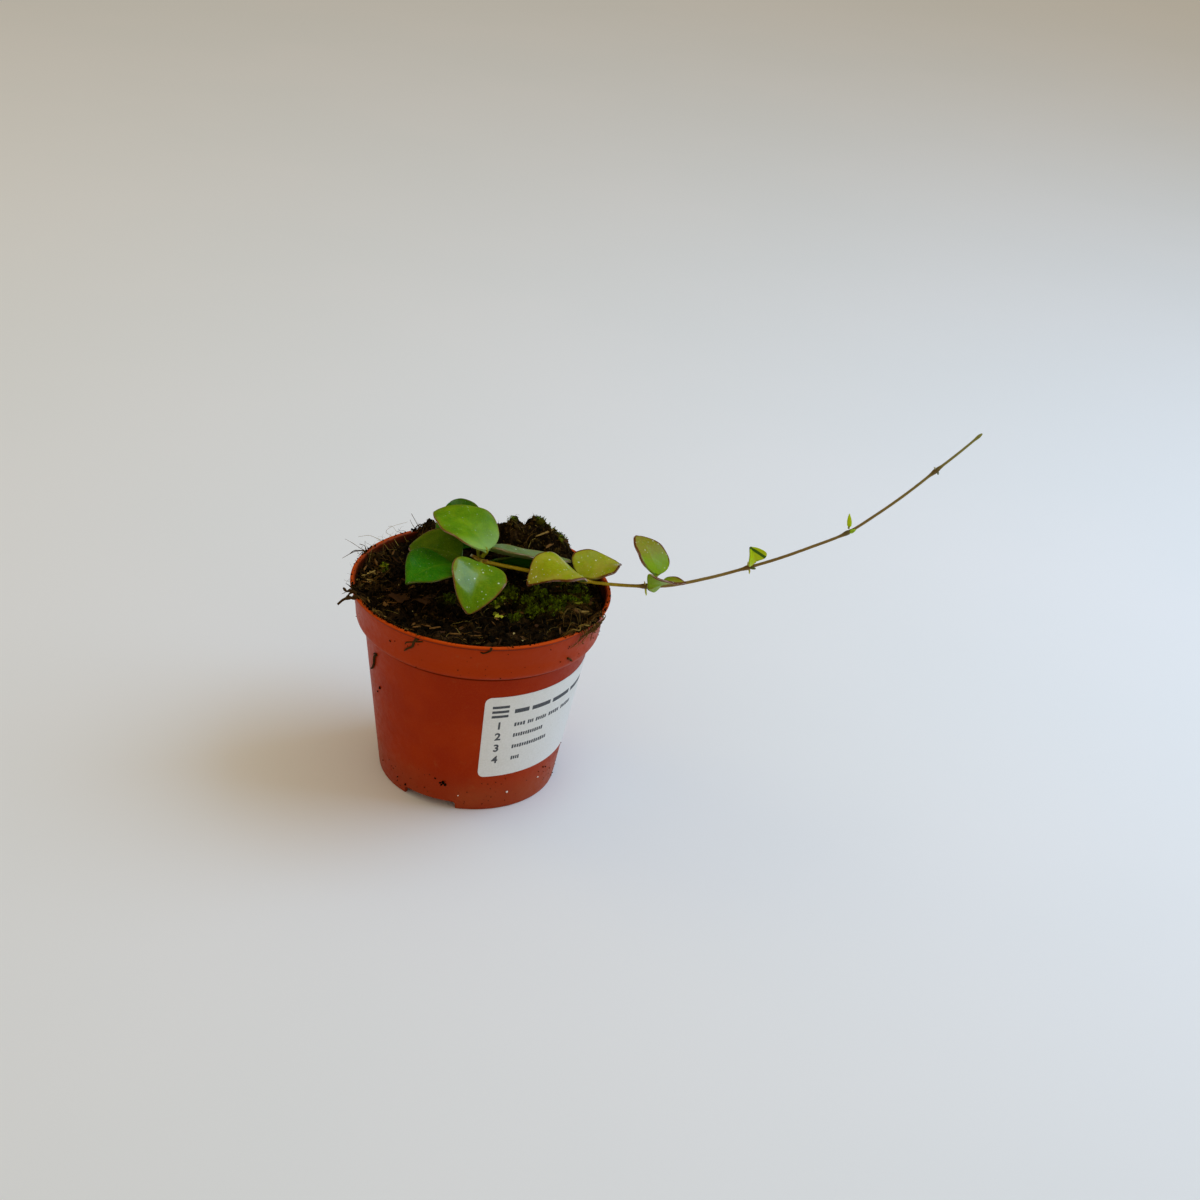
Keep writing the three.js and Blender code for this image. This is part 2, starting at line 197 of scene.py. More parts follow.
def tube(path, radii, sides=12, wobble=None):
    """A closed tube along a path, with its ends drawn to a point in the middle."""
    path = np.asarray(path, float)
    count = len(path)
    radii = np.broadcast_to(np.asarray(radii, float), (count,))
    along = np.gradient(path, axis=0)
    along /= np.linalg.norm(along, axis=1)[:, None]
    helper = np.array([0.0, 0.0, 1.0]) if abs(along[0][2]) < 0.9 else np.array([1.0, 0.0, 0.0])
    across = unit(np.cross(along[0], helper))
    rings = []
    for i in range(count):
        across = unit(across - along[i] * (across @ along[i]))
        third = np.cross(along[i], across)
        angle = np.arange(sides) * 2 * np.pi / sides
        ring = np.cos(angle)[:, None] * across + np.sin(angle)[:, None] * third
        size = radii[i] * (1 if wobble is None else wobble[i])
        rings.append(path[i] + ring * np.asarray(size).reshape(-1, 1))
    return np.vstack(rings + [path[:1], path[-1:]]), capped_faces(count, sides)


def lathe(profile, azimuths, shift):
    """A closed solid turned round Z. The profile runs from the axis back to the axis, and
    shift moves its points by their radius, height and azimuth."""
    inner = np.asarray(profile[1:-1], float)
    columns = len(azimuths)
    angle = np.radians(azimuths)
    r = np.repeat(inner[:, :1], columns, axis=1)
    z = np.repeat(inner[:, 1:], columns, axis=1)
    r, z = shift(r, z, np.asarray(azimuths)[None, :])
    points = np.column_stack([(r * np.sin(angle)).ravel(), (-r * np.cos(angle)).ravel(), z.ravel()])
    ends = np.array([[0, 0, profile[0][1]], [0, 0, profile[-1][1]]], float)
    return np.vstack([points, ends]), capped_faces(len(inner), columns)


def rounded(corners, steps=4):
    """A profile whose corners, each given as radius, height and rounding, are eased."""
    corners = [np.array(c[:2] + (c[2] if len(c) > 2 else 0,), float) for c in corners]
    line = [corners[0][:2]]
    for before, corner, after in zip(corners, corners[1:], corners[2:]):
        size = corner[2]
        here = corner[:2]
        if not size:
            line.append(here)
            continue
        towards = [here + (p[:2] - here) * min(0.5, size / np.linalg.norm(p[:2] - here))
                   for p in (before, after)]
        for t in np.linspace(0, 1, steps + 1):
            line.append((1 - t) ** 2 * towards[0] + 2 * t * (1 - t) * here + t * t * towards[1])
    line.append(corners[-1][:2])
    return [tuple(p) for p in line]


# Materials
def srgb(red, green, blue):
    """A colour given as it looks on screen, 0 to 255, in linear light."""
    return tuple((c / 255 / 12.92) if c < 10.3 else ((c / 255 + 0.055) / 1.055) ** 2.4
                 for c in (red, green, blue)) + (1.0,)


class Paint:
    """A node material built up from a base colour, with short ways to add its nodes."""

    def __init__(self, name, base, roughness, coat=0.0, coat_roughness=0.2, specular=0.5):
        self.material = bpy.data.materials.new(name)
        self.material.use_nodes = True
        self.tree = self.material.node_tree
        self.surface = self.tree.nodes["Principled BSDF"]
        self.surface.inputs["Roughness"].default_value = roughness
        self.surface.inputs["Coat Weight"].default_value = coat
        self.surface.inputs["Coat Roughness"].default_value = coat_roughness
        self.surface.inputs["Specular IOR Level"].default_value = specular
        self.where = self.add("ShaderNodeTexCoord").outputs["Object"]
        self.colour, self.normal = srgb(*base), None

    def add(self, kind, inputs=(), **settings):
        made = self.tree.nodes.new(kind)
        for key, value in settings.items():
            setattr(made, key, value)
        for key, value in dict(inputs).items():
            if isinstance(value, bpy.types.NodeSocket):
                self.tree.links.new(value, made.inputs[key])
            else:
                made.inputs[key].default_value = value
        return made

    def noise(self, cells, detail=3.0, where=None, rough=0.55, warp=0.0):
        """Noise with so many cells a millimetre."""
        scale = cells / MM if where is None else cells
        return self.add("ShaderNodeTexNoise", {
            "Vector": where or self.where, "Scale": scale, "Detail": detail,
            "Roughness": rough, "Distortion": warp,
        }).outputs["Fac"]

    def spots(self, cells, where=None, out="Distance"):
        """Scattered points, so many a millimetre: the distance to the nearest, or its colour."""
        scale = cells / MM if where is None else cells
        return self.add("ShaderNodeTexVoronoi", {
            "Vector": where or self.where, "Scale": scale,
        }).outputs[out]

    def read(self, name, out="Fac"):
        return self.add("ShaderNodeAttribute", attribute_name=name).outputs[out]

    def part(self, axis, where=None):
        return self.add("ShaderNodeSeparateXYZ", {0: where or self.where}).outputs[axis]

    def spread(self, value, low, high, to_low=0.0, to_high=1.0):
        return self.add("ShaderNodeMapRange", {
            "Value": value, "From Min": low, "From Max": high, "To Min": to_low, "To Max": to_high,
        }, interpolation_type="SMOOTHSTEP").outputs["Result"]

    def sum(self, first, second, operation="ADD"):
        return self.add("ShaderNodeMath", {0: first, 1: second}, operation=operation).outputs[0]

    def times(self, first, second):
        return self.sum(first, second, "MULTIPLY")

    def away(self, value, middle):
        """How far the value is from the middle."""
        return self.sum(self.sum(value, middle, "SUBTRACT"), 0.0, "ABSOLUTE")

    def over(self, mask, colour):
        """Lays a colour over what is there, as far as the mask goes from 0 to 1."""
        self.colour = self.add("ShaderNodeMix", {0: mask, 6: self.colour, 7: srgb(*colour)},
                               data_type="RGBA").outputs[2]

    def ramp(self, value, *stops):
        """Lays each colour over the last where the value passes from low to high."""
        for low, high, colour in stops:
            self.over(self.spread(value, low, high), colour)

    def bump(self, height, depth):
        """Adds relief from a height between 0 and 1, depth millimetres deep."""
        inputs = {"Height": height, "Strength": 1.0, "Distance": depth * MM}
        if self.normal:
            inputs["Normal"] = self.normal
        self.normal = self.add("ShaderNodeBump", inputs).outputs["Normal"]

    def finish(self, roughness=None):
        for value, name in ((self.colour, "Base Color"), (self.normal, "Normal"),
                            (roughness, "Roughness")):
            if value:
                self.tree.links.new(value, self.surface.inputs[name])
        return self.material


# Pot
POT_HEIGHT = 72.6
CREASE = (39.3, 57.4)
FOOT_RADIUS = 31.3
SKIRT_GAP = {"middle": -23.0, "arc": 36.0, "height": 2.9}
DRAIN_HOLES = {"count": 6, "ring": 20.0, "radius": 3.0}
COLLAR_HEIGHTS = (57.4, 59, 61, 63, 66, 69, 71.5, 72)
COLLAR_RADII = (39.4, 42.06, 42.46, 42.6, 43.2, 43.87, 44.4, 45)
CRISP = 50          # edges of the pot that turn by more degrees than this stay crisp


def side_radius(z):
    """The outer radius of the pot's plain side, under the collar, at a height."""
    return FOOT_RADIUS + (CREASE[0] - FOOT_RADIUS) * z / CREASE[1]


def wall_radius(z):
    """The outer radius of the pot at a height."""
    return side_radius(z) if z < CREASE[1] else float(np.interp(z, COLLAR_HEIGHTS, COLLAR_RADII))


def pot_material():
    """Terracotta plastic: dusty in places. The collar is painted lighter than the side below it,
    the lip's top carries a painted highlight, and painted shade darkens a line under the lip's
    bead and the crease under the collar. The heights and widths that it blends between are in
    metres."""
    paint = Paint("terracotta_plastic", (152, 36, 0), 0.42, specular=0.1)
    broad = paint.noise(0.05, 2)
    grain = paint.noise(2.2, 3)
    paint.over(paint.spread(broad, 0.35, 0.7), (163, 45, 0))
    paint.over(paint.spread(grain, 0.4, 0.75, 0, 0.16), (184, 78, 20))
    height = paint.part("Z")
    # painted light: from 58 to 60 mm up, the collar is painted lighter than the side below it
    paint.over(paint.spread(height, 0.058, 0.06, 0, 0.6), (174, 56, 2))
    # painted highlight: the lip's top face, above 72 mm, is painted a brighter orange
    paint.over(paint.spread(height, 0.072, 0.0725, 0, 0.7), (198, 74, 10))
    across = paint.add("ShaderNodeVectorMath", {0: paint.where, 1: (1, 1, 0)},
                       operation="MULTIPLY").outputs[0]
    radius = paint.add("ShaderNodeVectorMath", {0: across}, operation="LENGTH").outputs["Value"]
    taper = paint.sum(radius, paint.times(height, 0.165), "SUBTRACT")
    inside = paint.times(paint.spread(taper, 0.03175, 0.03192, 1, 0),
                         paint.spread(height, 0.062, 0.064))
    paint.over(paint.times(inside, 0.55), (116, 46, 20))
    ragged = paint.sum(height, paint.times(paint.noise(0.3, 4), 0.0022))
    paint.over(paint.times(inside, paint.spread(ragged, 0.0727, 0.0736, 0.9, 0)), (40, 22, 10))
    # painted shadow: a dark line just under the lip's bead
    bead_shadow = paint.away(height, 0.0716)
    paint.over(paint.spread(bead_shadow, 0.0002, 0.0006, 0.8, 0), (84, 22, 2))
    # painted shade: a dark line at the crease under the collar, where the specular level is lowered
    # too
    crease = paint.away(height, 0.0576)
    paint.over(paint.spread(crease, 0.0007, 0.0012, 0.72, 0), (62, 16, 2))
    paint.tree.links.new(paint.spread(crease, 0.0006, 0.0014, 0, 0.1),
                         paint.surface.inputs["Specular IOR Level"])
    paint.surface.inputs["Specular Tint"].default_value = (1.0, 0.66, 0.36, 1.0)
    dust = paint.times(paint.spread(paint.noise(0.35, 5, rough=0.7), 0.55, 0.78, 0, 0.5),
                       paint.spread(paint.noise(0.09, 2), 0.45, 0.65))
    paint.over(dust, (160, 78, 38))
    low = paint.times(paint.spread(height, 0.004, 0.018, 0.4, 0),
                      paint.spread(broad, 0.3, 0.6, 0.4, 1))
    paint.over(low, (150, 84, 50))
    soil = paint.times(paint.spread(paint.spots(0.28), 0.0, 0.055, 1, 0),
                       paint.spread(paint.noise(0.12, 2), 0.5, 0.62))
    paint.over(soil, (60, 28, 12))
    paint.bump(grain, 0.035)
    paint.bump(paint.noise(0.25, 2), 0.12)
    return paint.finish(paint.spread(paint.noise(0.5, 4), 0.3, 0.75, 0.36, 0.52))


def pot_profile():
    """The pot's section, from under the floor, up the outside, over the lip and down inside."""
    return rounded([
        (0, 0), (8.6, 0, 0.8), (11.6, 3.2, 0.8), (30.0, 3.2, 0.3), (30.0, 0.0, 0.35),
        (31.25, 0.0, 0.5),
        *[(side_radius(z), z)
          for z in (1.6, 2.9, 3.4, 6.0, 12.0, 20.0, 28.0, 36.0, 44.0, 51.0, 55.5)],
        (39.35, 57.5, 0.35),
        (41.1, 58.0, 0.9), (42.15, 59.3, 0.9), (42.5, 61.6, 1.2), (42.65, 63.4, 1.2),
        (43.3, 66.6, 1.0), (44.0, 69.6, 0.8), (44.35, 71.5, 0.15), (44.8, 71.65, 0.2),
        (45.0, 71.95, 0.15), (45.0, 72.35, 0.2), (44.7, 72.6, 0.25), (43.8, 72.6, 0.3),
        (43.3, 72.0, 0.4), (42.9, 69.6, 0.6), (42.3, 66.6, 1.0), (41.3, 60.4, 1.2),
        (38.3, 57.4, 0.8), (30.7, 4.2, 0.8), (11.0, 4.2, 0.8), (8.0, 1.0, 0.8), (0, 1.0),
    ])


def make_pot():
    """The pot, with three gaps in its foot and rows of points close to their edges."""
    half = SKIRT_GAP["arc"] / 2
    edges = [SKIRT_GAP["middle"] + k * 120 + side * (half + shift)
             for k in range(3) for side in (-1, 1) for shift in (-1.6, -0.7, -0.15, 0.15)]
    plain = [a for a in np.arange(-180, 180, 2.0)
             if all(abs((a - e + 180) % 360 - 180) > 0.45 for e in edges)]
    azimuths = np.sort([((a + 180) % 360) - 180 for a in plain + edges])

    def shift(r, z, azimuth):
        from_middle = np.abs((azimuth - SKIRT_GAP["middle"] + 60) % 120 - 60)
        inside = smooth(half, half - 1.7, from_middle) ** 0.5 * (from_middle < half)
        lift = SKIRT_GAP["height"] * (0.72 + 0.28 * inside) * (from_middle < half)
        skirt = (z < 3.1) & (r > 29)
        raised = np.where(skirt, np.maximum(z, lift + z * 0.08), z)
        taper = (CREASE[0] - FOOT_RADIUS) / CREASE[1]
        r = np.where(skirt & (r > 30.9), r + taper * (raised - z), r)
        rim = smooth(60, 72, z) * (0.25 * np.cos(np.radians(2 * azimuth + 50))
                                   + 0.1 * np.sin(np.radians(5 * azimuth)))
        return r + rim, raised

    shells = Shells()
    shells.add(*lathe(pot_profile(), azimuths, shift))
    drill(shells.build("pot_shell", pot_material(), "pot", sharp=CRISP))


def drill(pot):
    """Cuts the drain holes through the floor."""
    shells = Shells()
    for i in range(DRAIN_HOLES["count"]):
        centre = on_circle(DRAIN_HOLES["ring"], (i + 0.5) * 360 / DRAIN_HOLES["count"], 0)
        path = centre + np.array([[0, 0, 1.0], [0, 0, 6.0]])
        shells.add(*tube(path, DRAIN_HOLES["radius"], sides=40))
    cutter = shells.build("drill", pot.data.materials[0])
    made = pot.modifiers.new("holes", "BOOLEAN")
    made.object = cutter
    made.operation = "DIFFERENCE"
    made.solver = "EXACT"
    graph = bpy.context.evaluated_depsgraph_get()
    cut = bpy.data.meshes.new_from_object(pot.evaluated_get(graph))
    pot.modifiers.clear()
    pot.data = cut
    cut.set_sharp_from_angle(angle=math.radians(CRISP))
    bpy.data.objects.remove(cutter)


# Label
LABEL = {"start": 7.0, "length": 63.3, "height": 34.5, "middle": 32.3, "slope": 0.03,
         "corner": 2.4, "low": 0.03, "high": 0.17}
INK = (0.1, 0.195)          # the ink's underside and face, off the pot


def on_label(along, up, off):
    """Points on the label, along from its left end, up from its middle line, off the pot."""
    z = LABEL["middle"] + LABEL["slope"] * along + up
    azimuth = np.radians(LABEL["start"]) + along / side_radius(LABEL["middle"])
    r = side_radius(z) + off
    return np.stack([r * np.sin(azimuth), -r * np.cos(azimuth), z], axis=-1)


def slab(along, up, low, high):
    """A closed curved sheet over a grid of label places."""
    return sheet(on_label(along, up, high), on_label(along, up, low))


def label_material():
    paint = Paint("label_paper", (222, 223, 220), 0.5, coat=0.25, coat_roughness=0.35)
    fibre = paint.noise(1.6, 4)
    paint.over(paint.spread(fibre, 0.3, 0.7), (230, 231, 229))
    paint.over(paint.spread(paint.noise(0.08, 4), 0.5, 0.75, 0, 0.35), (206, 205, 198))
    paint.bump(fibre, 0.01)
    paint.bump(paint.noise(0.12, 2), 0.1)
    return paint.finish()


def ink_material():
    paint = Paint("label_ink", (52, 56, 62), 0.6)
    paint.over(paint.spread(paint.noise(3.0, 3), 0.3, 0.7), (84, 88, 94))
    return paint.finish()


def make_label():
    """The paper, with rounded corners and its columns closer together at both ends."""
    columns, rows = 150, 30
    u = 0.5 - 0.5 * np.cos(np.pi * np.linspace(0, 1, columns))
    u = 0.6 * np.linspace(0, 1, columns) + 0.4 * u
    along = u * LABEL["length"]
    into = np.maximum(0, LABEL["corner"] - np.minimum(along, LABEL["length"] - along))
    cut = LABEL["corner"] - np.sqrt(LABEL["corner"] ** 2 - into ** 2)
    half = LABEL["height"] / 2 - cut
    up = np.linspace(-1, 1, rows)[:, None] * half[None, :]
    shells = Shells()
    shells.add(*slab(np.broadcast_to(along, up.shape), up, LABEL["low"], LABEL["high"]))
    shells.build("label_paper", label_material(), "label")
    make_print()


def bar(shells, along, up, length, height):
    columns = max(2, int(length / 0.8))
    grid = np.meshgrid(along + np.linspace(0, length, columns), up + np.array([-0.5, 0.5]) * height)
    shells.add(*slab(*grid, *INK))


def digit(shells, text, along, up, height):
    """One plain numeral, bent to the label."""
    made = bpy.data.curves.new("numeral", "FONT")
    made.body = text
    made.size = height * 1.38
    made.align_x = "CENTER"
    made.extrude = 0.05
    made.offset = 0.042 * height
    made.resolution_u = 3
    holder = bpy.data.objects.new("numeral", made)
    bpy.context.scene.collection.objects.link(holder)
    graph = bpy.context.evaluated_depsgraph_get()
    mesh = bpy.data.meshes.new_from_object(holder.evaluated_get(graph))
    flat = np.array([v.co for v in mesh.vertices])
    faces = [np.array([list(p.vertices)]) for p in mesh.polygons]
    off = np.where(flat[:, 2] > 0, INK[1], INK[0])
    middle = (flat[:, 1].min() + flat[:, 1].max()) / 2
    shells.add(on_label(along + flat[:, 0], up + flat[:, 1] - middle, off), faces)
    bpy.data.objects.remove(holder)
    bpy.data.meshes.remove(mesh)


def make_print():
    """Plain numerals down the left, with word-long ruled bars beside them."""
    shells = Shells()
    heading = [(10.2, 5.2), (16.6, 7.4), (25.2, 8.6), (35.0, 9.5)]
    for along, length in heading:
        bar(shells, along, 10.8 - 0.02 * along, length, 1.7)
    for up in (13.0, 11.0, 9.0):
        bar(shells, 2.6, up, 5.6, 1.05)
    rows = [
        (5.0, [(10.8, 4.2), (15.8, 2.4), (19.0, 4.6), (24.6, 5.2), (30.8, 6.0)]),
        (0.3, [(11.0, 12.0)]),
        (-4.7, [(11.2, 14.6)]),
        (-9.8, [(11.6, 3.4)]),
    ]
    for number, (up, words) in enumerate(rows, 1):
        digit(shells, str(number), 5.5, up, 3.1)
        for along, length in words:
            letters = max(1, round(length / 0.95))
            for k in range(letters):
                tall = 1.35 if k % 3 else 1.6
                bar(shells, along + k * length / letters, up - 0.25, 0.7 * length / letters, tall)
    shells.build("label_print", ink_material())


# Peat
HEAP = {"x": 15.4, "y": 26.0, "width": 15.6, "depth": 9.5, "height": 12.6}
HUMP = {"x": -19.0, "y": 32.0, "width": 5.0, "depth": 5.0, "height": 7.0}
PEAT_LEVEL = 70.8
PEAT_EDGE = 42.1
# How many of each lie loose on the peat
CRUMBS, CLODS, LYING_FIBRES, STANDING_FIBRES, SMALL_CHIPS = 4600, 230, 520, 240, 120


def heap(x, y, shape):
    """The height of a broad heap over its surroundings."""
    reach = ((x - shape["x"]) / shape["width"]) ** 4 + ((y - shape["y"]) / shape["depth"]) ** 2
    return shape["height"] * np.exp(-reach)


# Low mounds and knobs in the peat: place, radius and height
MOUNDS = [
    (27.0, -16.5, 5.0, 2.8), (33.5, -16.0, 4.0, 2.2), (20.5, -21.0, 3.5, 1.6),
    (9.0, 27.0, 3.0, 1.8), (18.5, 27.0, 3.8, 1.9), (2.5, 24.5, 3.0, 1.2), (25.5, 25.0, 2.6, 0.9),
    (14.0, 20.0, 3.0, 1.2), (28.0, -3.5, 4.0, 1.3), (22.0, 1.0, 3.5, 0.9), (15.8, -10.0, 3.0, 0.9),
    (-38.0, -6.0, 3.0, 0.9), (-36.0, 14.0, 3.0, 0.9), (6.0, -13.0, 2.6, 1.5),
    (-23.0, -12.0, 5.0, 0.9), (-30.0, -20.0, 3.0, 1.0), (-12.0, -26.0, 3.5, 0.8),
    (8.0, -26.0, 3.0, 0.8),
]


def peat_height(x, y):
    """The height of the peat at a place, crumbs left out."""
    dip = 1.4 * smooth(10, 40, x) + 0.5 * smooth(10, 35, -x)
    clods = (np.sin(0.61 * x + 0.35 * y) * np.cos(0.53 * y - 0.21 * x + 1.3)
             + 0.7 * np.sin(1.07 * x - 0.83 * y + 2.1) * np.sin(0.94 * y + 0.6))
    where = np.column_stack([x.ravel(), y.ravel(), np.zeros(x.size)])
    fine = (0.55 * noise(where / 2.6, 3) + 0.4 * noise(where / 1.3, 4)
            + 0.22 * noise(where / 0.6, 5)).reshape(x.shape)
    heaps = heap(x, y, HEAP), heap(x, y, HUMP)
    rough = 1 + 1.3 * np.clip((heaps[0] + heaps[1]) / 6, 0, 1)
    edge = 0.3 * smooth(39.5, PEAT_EDGE, np.hypot(x, y))
    mounds = sum(high * np.exp(-((x - mx) ** 2 + (y - my) ** 2) / wide ** 2)
                 for mx, my, wide, high in MOUNDS)
    return (PEAT_LEVEL - dip - edge + heaps[0] + heaps[1] + mounds + 0.8 * clods + fine * rough)


def peat_material():
    paint = Paint("peat_mix", (10, 7, 2), 0.95, specular=0.03)
    grain = paint.noise(0.9, 6, rough=0.7)
    paint.over(paint.spread(grain, 0.35, 0.7), (44, 30, 11))
    clump = paint.spread(paint.noise(0.13, 3), 0.52, 0.68)
    paint.over(paint.times(clump, paint.spread(grain, 0.4, 0.6, 0.2, 0.8)), (76, 52, 26))
    paint.over(paint.times(paint.read("moss"), paint.spread(paint.noise(0.7, 4), 0.35, 0.6)),
               (100, 102, 20))
    paint.bump(paint.noise(1.3, 5, rough=0.7), 0.8)
    return paint.finish()


# Patches of moss: place, size and how bright they are
MOSS = [
    (20.0, -3.0, 4.0, 0.8), (31.0, -3.5, 3.6, 0.85), (36.0, -2.0, 2.6, 0.75),
    (9.5, -2.0, 4.0, 0.65), (7.0, 2.0, 3.0, 0.7), (19.0, -13.5, 4.5, 0.75),
    (25.5, -15.0, 3.5, 0.65), (27.4, 8.6, 4.0, 0.4), (-10.0, -11.5, 3.0, 0.5),
    (33.5, 5.0, 3.5, 0.65), (16.0, -8.0, 4.0, 0.85), (24.0, -7.0, 3.5, 0.9), (-34.0, 8.0, 1.6, 0.7),
    (12.0, -20.0, 2.5, 0.5), (26.0, 30.0, 3.0, 0.35), (8.0, 32.0, 2.5, 0.35),
    (27.0, -7.6, 3.0, 1.0), (28.2, -6.6, 2.4, 1.0), (25.4, -7.6, 2.2, 0.95),
    (11.0, -5.0, 2.8, 0.85), (5.6, -12.6, 2.2, 1.0), (7.6, -9.8, 1.8, 1.0), (16.4, -16.4, 1.4, 0.9),
    (9.0, 26.5, 1.6, 0.6), (19.0, 27.5, 1.8, 0.6), (23.0, 26.5, 1.0, 0.5), (27.0, 24.0, 1.0, 0.5),
]


def moss_at(x, y):
    """How mossy a place is, from 0 to 1."""
    total = np.zeros(np.shape(x))
    for cx, cy, size, _ in MOSS:
        total = np.maximum(total, np.exp(-((x - cx) ** 2 + (y - cy) ** 2) / size ** 2 * 1.4))
    return total


def make_peat():
    """The bed of peat, down to the floor; its top rows follow peat_height."""
    azimuths = np.arange(-180, 180, 1.6)
    radii = np.linspace(1.0, PEAT_EDGE, 112)
    below = [(8.3, 1.4), (11.2, 4.7), (30.2, 4.7), (38.0, 57.9), (40.9, 60.4), (42.0, 66.6)]
    profile = [(0, 1.4)] + below + [(r, POT_HEIGHT) for r in radii[::-1]] + [(0, POT_HEIGHT)]

    def shift(r, z, azimuth):
        angle = np.radians(azimuth)
        top = z > POT_HEIGHT - 0.5
        height = peat_height(r * np.sin(angle), -r * np.cos(angle))
        return r, np.where(top, height, z)

    points, faces = lathe(profile, azimuths, shift)
    points[-1, 2] = peat_height(np.zeros(1), np.zeros(1))[0]
    shells = Shells()
    shells.add(points, faces, moss=moss_at(points[:, 0], points[:, 1]) * (points[:, 2] > 66))
    shells.build("peat_bed", peat_material(), "peat", sharp=180)


GOLDEN = 1.618
ICOSAHEDRON = np.array([
    (0, 1, GOLDEN), (0, -1, GOLDEN), (0, 1, -GOLDEN), (0, -1, -GOLDEN),
    (1, GOLDEN, 0), (-1, GOLDEN, 0), (1, -GOLDEN, 0), (-1, -GOLDEN, 0),
    (GOLDEN, 0, 1), (-GOLDEN, 0, 1), (GOLDEN, 0, -1), (-GOLDEN, 0, -1),
]) / 1.902          # brings the points to one unit from the middle
ICO_FACES = np.array([
    (0, 1, 8), (0, 9, 1), (0, 4, 5), (0, 8, 4), (0, 5, 9), (1, 7, 6), (1, 6, 8), (1, 9, 7),
    (2, 3, 11), (2, 10, 3), (2, 5, 4), (2, 4, 10), (2, 11, 5), (3, 6, 7), (3, 10, 6), (3, 7, 11),
    (4, 8, 10), (5, 11, 9), (6, 10, 8), (7, 9, 11),
])


def finer(points, faces):
    """Splits each triangle of a ball in four and puts the new points on the ball."""
    points = list(map(tuple, points))
    halves = {}

    def half(a, b):
        key = (min(a, b), max(a, b))
        if key not in halves:
            halves[key] = len(points)
            points.append(tuple(unit(np.add(points[a], points[b]))))
        return halves[key]

    split = []
    for a, b, c in faces:
        ab, bc, ca = half(a, b), half(b, c), half(c, a)
        split += [(a, ab, ca), (ab, b, bc), (ca, bc, c), (ab, bc, ca)]
    return np.array(points), np.array(split)


def turned(points):
    """The points turned at random."""
    w, x, y, z = unit(rng.normal(size=4))
    turn = np.array([
        [1 - 2 * (y * y + z * z), 2 * (x * y - z * w), 2 * (x * z + y * w)],
        [2 * (x * y + z * w), 1 - 2 * (x * x + z * z), 2 * (y * z - x * w)],
        [2 * (x * z - y * w), 2 * (y * z + x * w), 1 - 2 * (x * x + y * y)],
    ])
    return points @ turn.T


def crumb_material():
    """Crumbs by their tone: dark, brown, pale and, above 1, white grains; greener in moss."""
    paint = Paint("peat_crumbs", (9, 6, 2), 0.95, specular=0.03)
    grain = paint.noise(1.6, 5, rough=0.7)
    paint.ramp(paint.read("tone"), (0.3, 0.85, (46, 32, 10)), (0.88, 0.94, (98, 74, 24)),
               (0.975, 0.985, (176, 152, 92)), (1.1, 1.2, (238, 228, 218)))
    paint.over(paint.spread(grain, 0.5, 0.8, 0, 0.4), (66, 46, 18))
    high = paint.spread(paint.part("Z"), 0.073, 0.08, 0, 0.35)
    paint.over(paint.times(high, paint.noise(0.3, 3)), (104, 80, 30))
    green = paint.times(paint.read("moss"), paint.spread(paint.noise(0.5, 3), 0.42, 0.58))
    paint.over(green, (96, 98, 18))
    paint.bump(grain, 0.35)
    return paint.finish()


def place_in_pot(reach=PEAT_EDGE - 0.4):
    """A random place on the peat, spread evenly."""
    r = reach * math.sqrt(rng.random())
    a = rng.random() * 2 * math.pi
    return r * math.cos(a), r * math.sin(a)


def peat_at(x, y):
    return float(peat_height(np.array([x]), np.array([y]))[0])


def in_peat(radius, azimuth):
    """A place just under the surface of the peat."""
    x, y, _ = on_circle(radius, azimuth, 0)
    return np.array([x, y, peat_at(x, y) - 0.4])


def make_crumbs():
    """Loose grains all over, and coarser broken clods between them."""
    shells = Shells()
    spots = np.array([place_in_pot() for _ in range(CRUMBS)])
    heights = peat_height(spots[:, 0], spots[:, 1])
    for (x, y), z in zip(spots, heights):
        size = 0.26 + 0.6 * rng.random() ** 2.5 + (0.7 * rng.random() if rng.random() < 0.06 else 0)
        shape = ICOSAHEDRON * (1 + 0.28 * rng.normal(size=(12, 1))).clip(0.55, 1.6)
        shape = turned(shape * size * (1, 0.55 + 0.45 * rng.random(), 0.45 + 0.5 * rng.random()))
        tone = min(0.9, rng.random() + 0.25 * (z > 75)) if rng.random() < 0.8 else rng.random()
        shells.add(shape + (x, y, z + 0.1 * size), [ICO_FACES], tone=tone, moss=moss_at(x, y))
    shells.build("peat_crumbs", crumb_material(), sharp=30)
    clods = Shells()
    ball, faces = finer(*finer(ICOSAHEDRON, ICO_FACES))
    for _ in range(CLODS):
        x, y = place_in_pot(PEAT_EDGE - 2.2)
        size = 0.8 + 1.2 * rng.random() ** 2
        start = rng.normal(size=3) * 40
        swelling = 1 + 0.3 * noise(ball * 1.6 + start, 7) + 0.25 * noise(ball * 4 + start, 8)
        shape = ball * swelling[:, None]
        for _ in range(6):
            facet = unit(rng.normal(size=3))
            beyond = np.maximum(shape @ facet - 0.45 - 0.4 * rng.random(), 0)
            shape = shape - beyond[:, None] * facet
        shape = turned(shape * size * (1, 0.8, 0.65))
        clods.add(shape + (x, y, peat_at(x, y)), [faces], tone=0.72 * rng.random(),
                  moss=moss_at(x, y))
    clods.build("peat_clods", crumb_material(), sharp=180)


def fibre_material():
    paint = Paint("peat_fibres", (26, 17, 6), 0.8, specular=0.06)
    paint.ramp(paint.read("tone"), (0.1, 0.7, (102, 70, 22)), (0.7, 1.0, (170, 150, 72)))
    paint.over(paint.spread(paint.noise(2.0, 3), 0.35, 0.7, 0, 0.45), (48, 30, 16))
    return paint.finish()


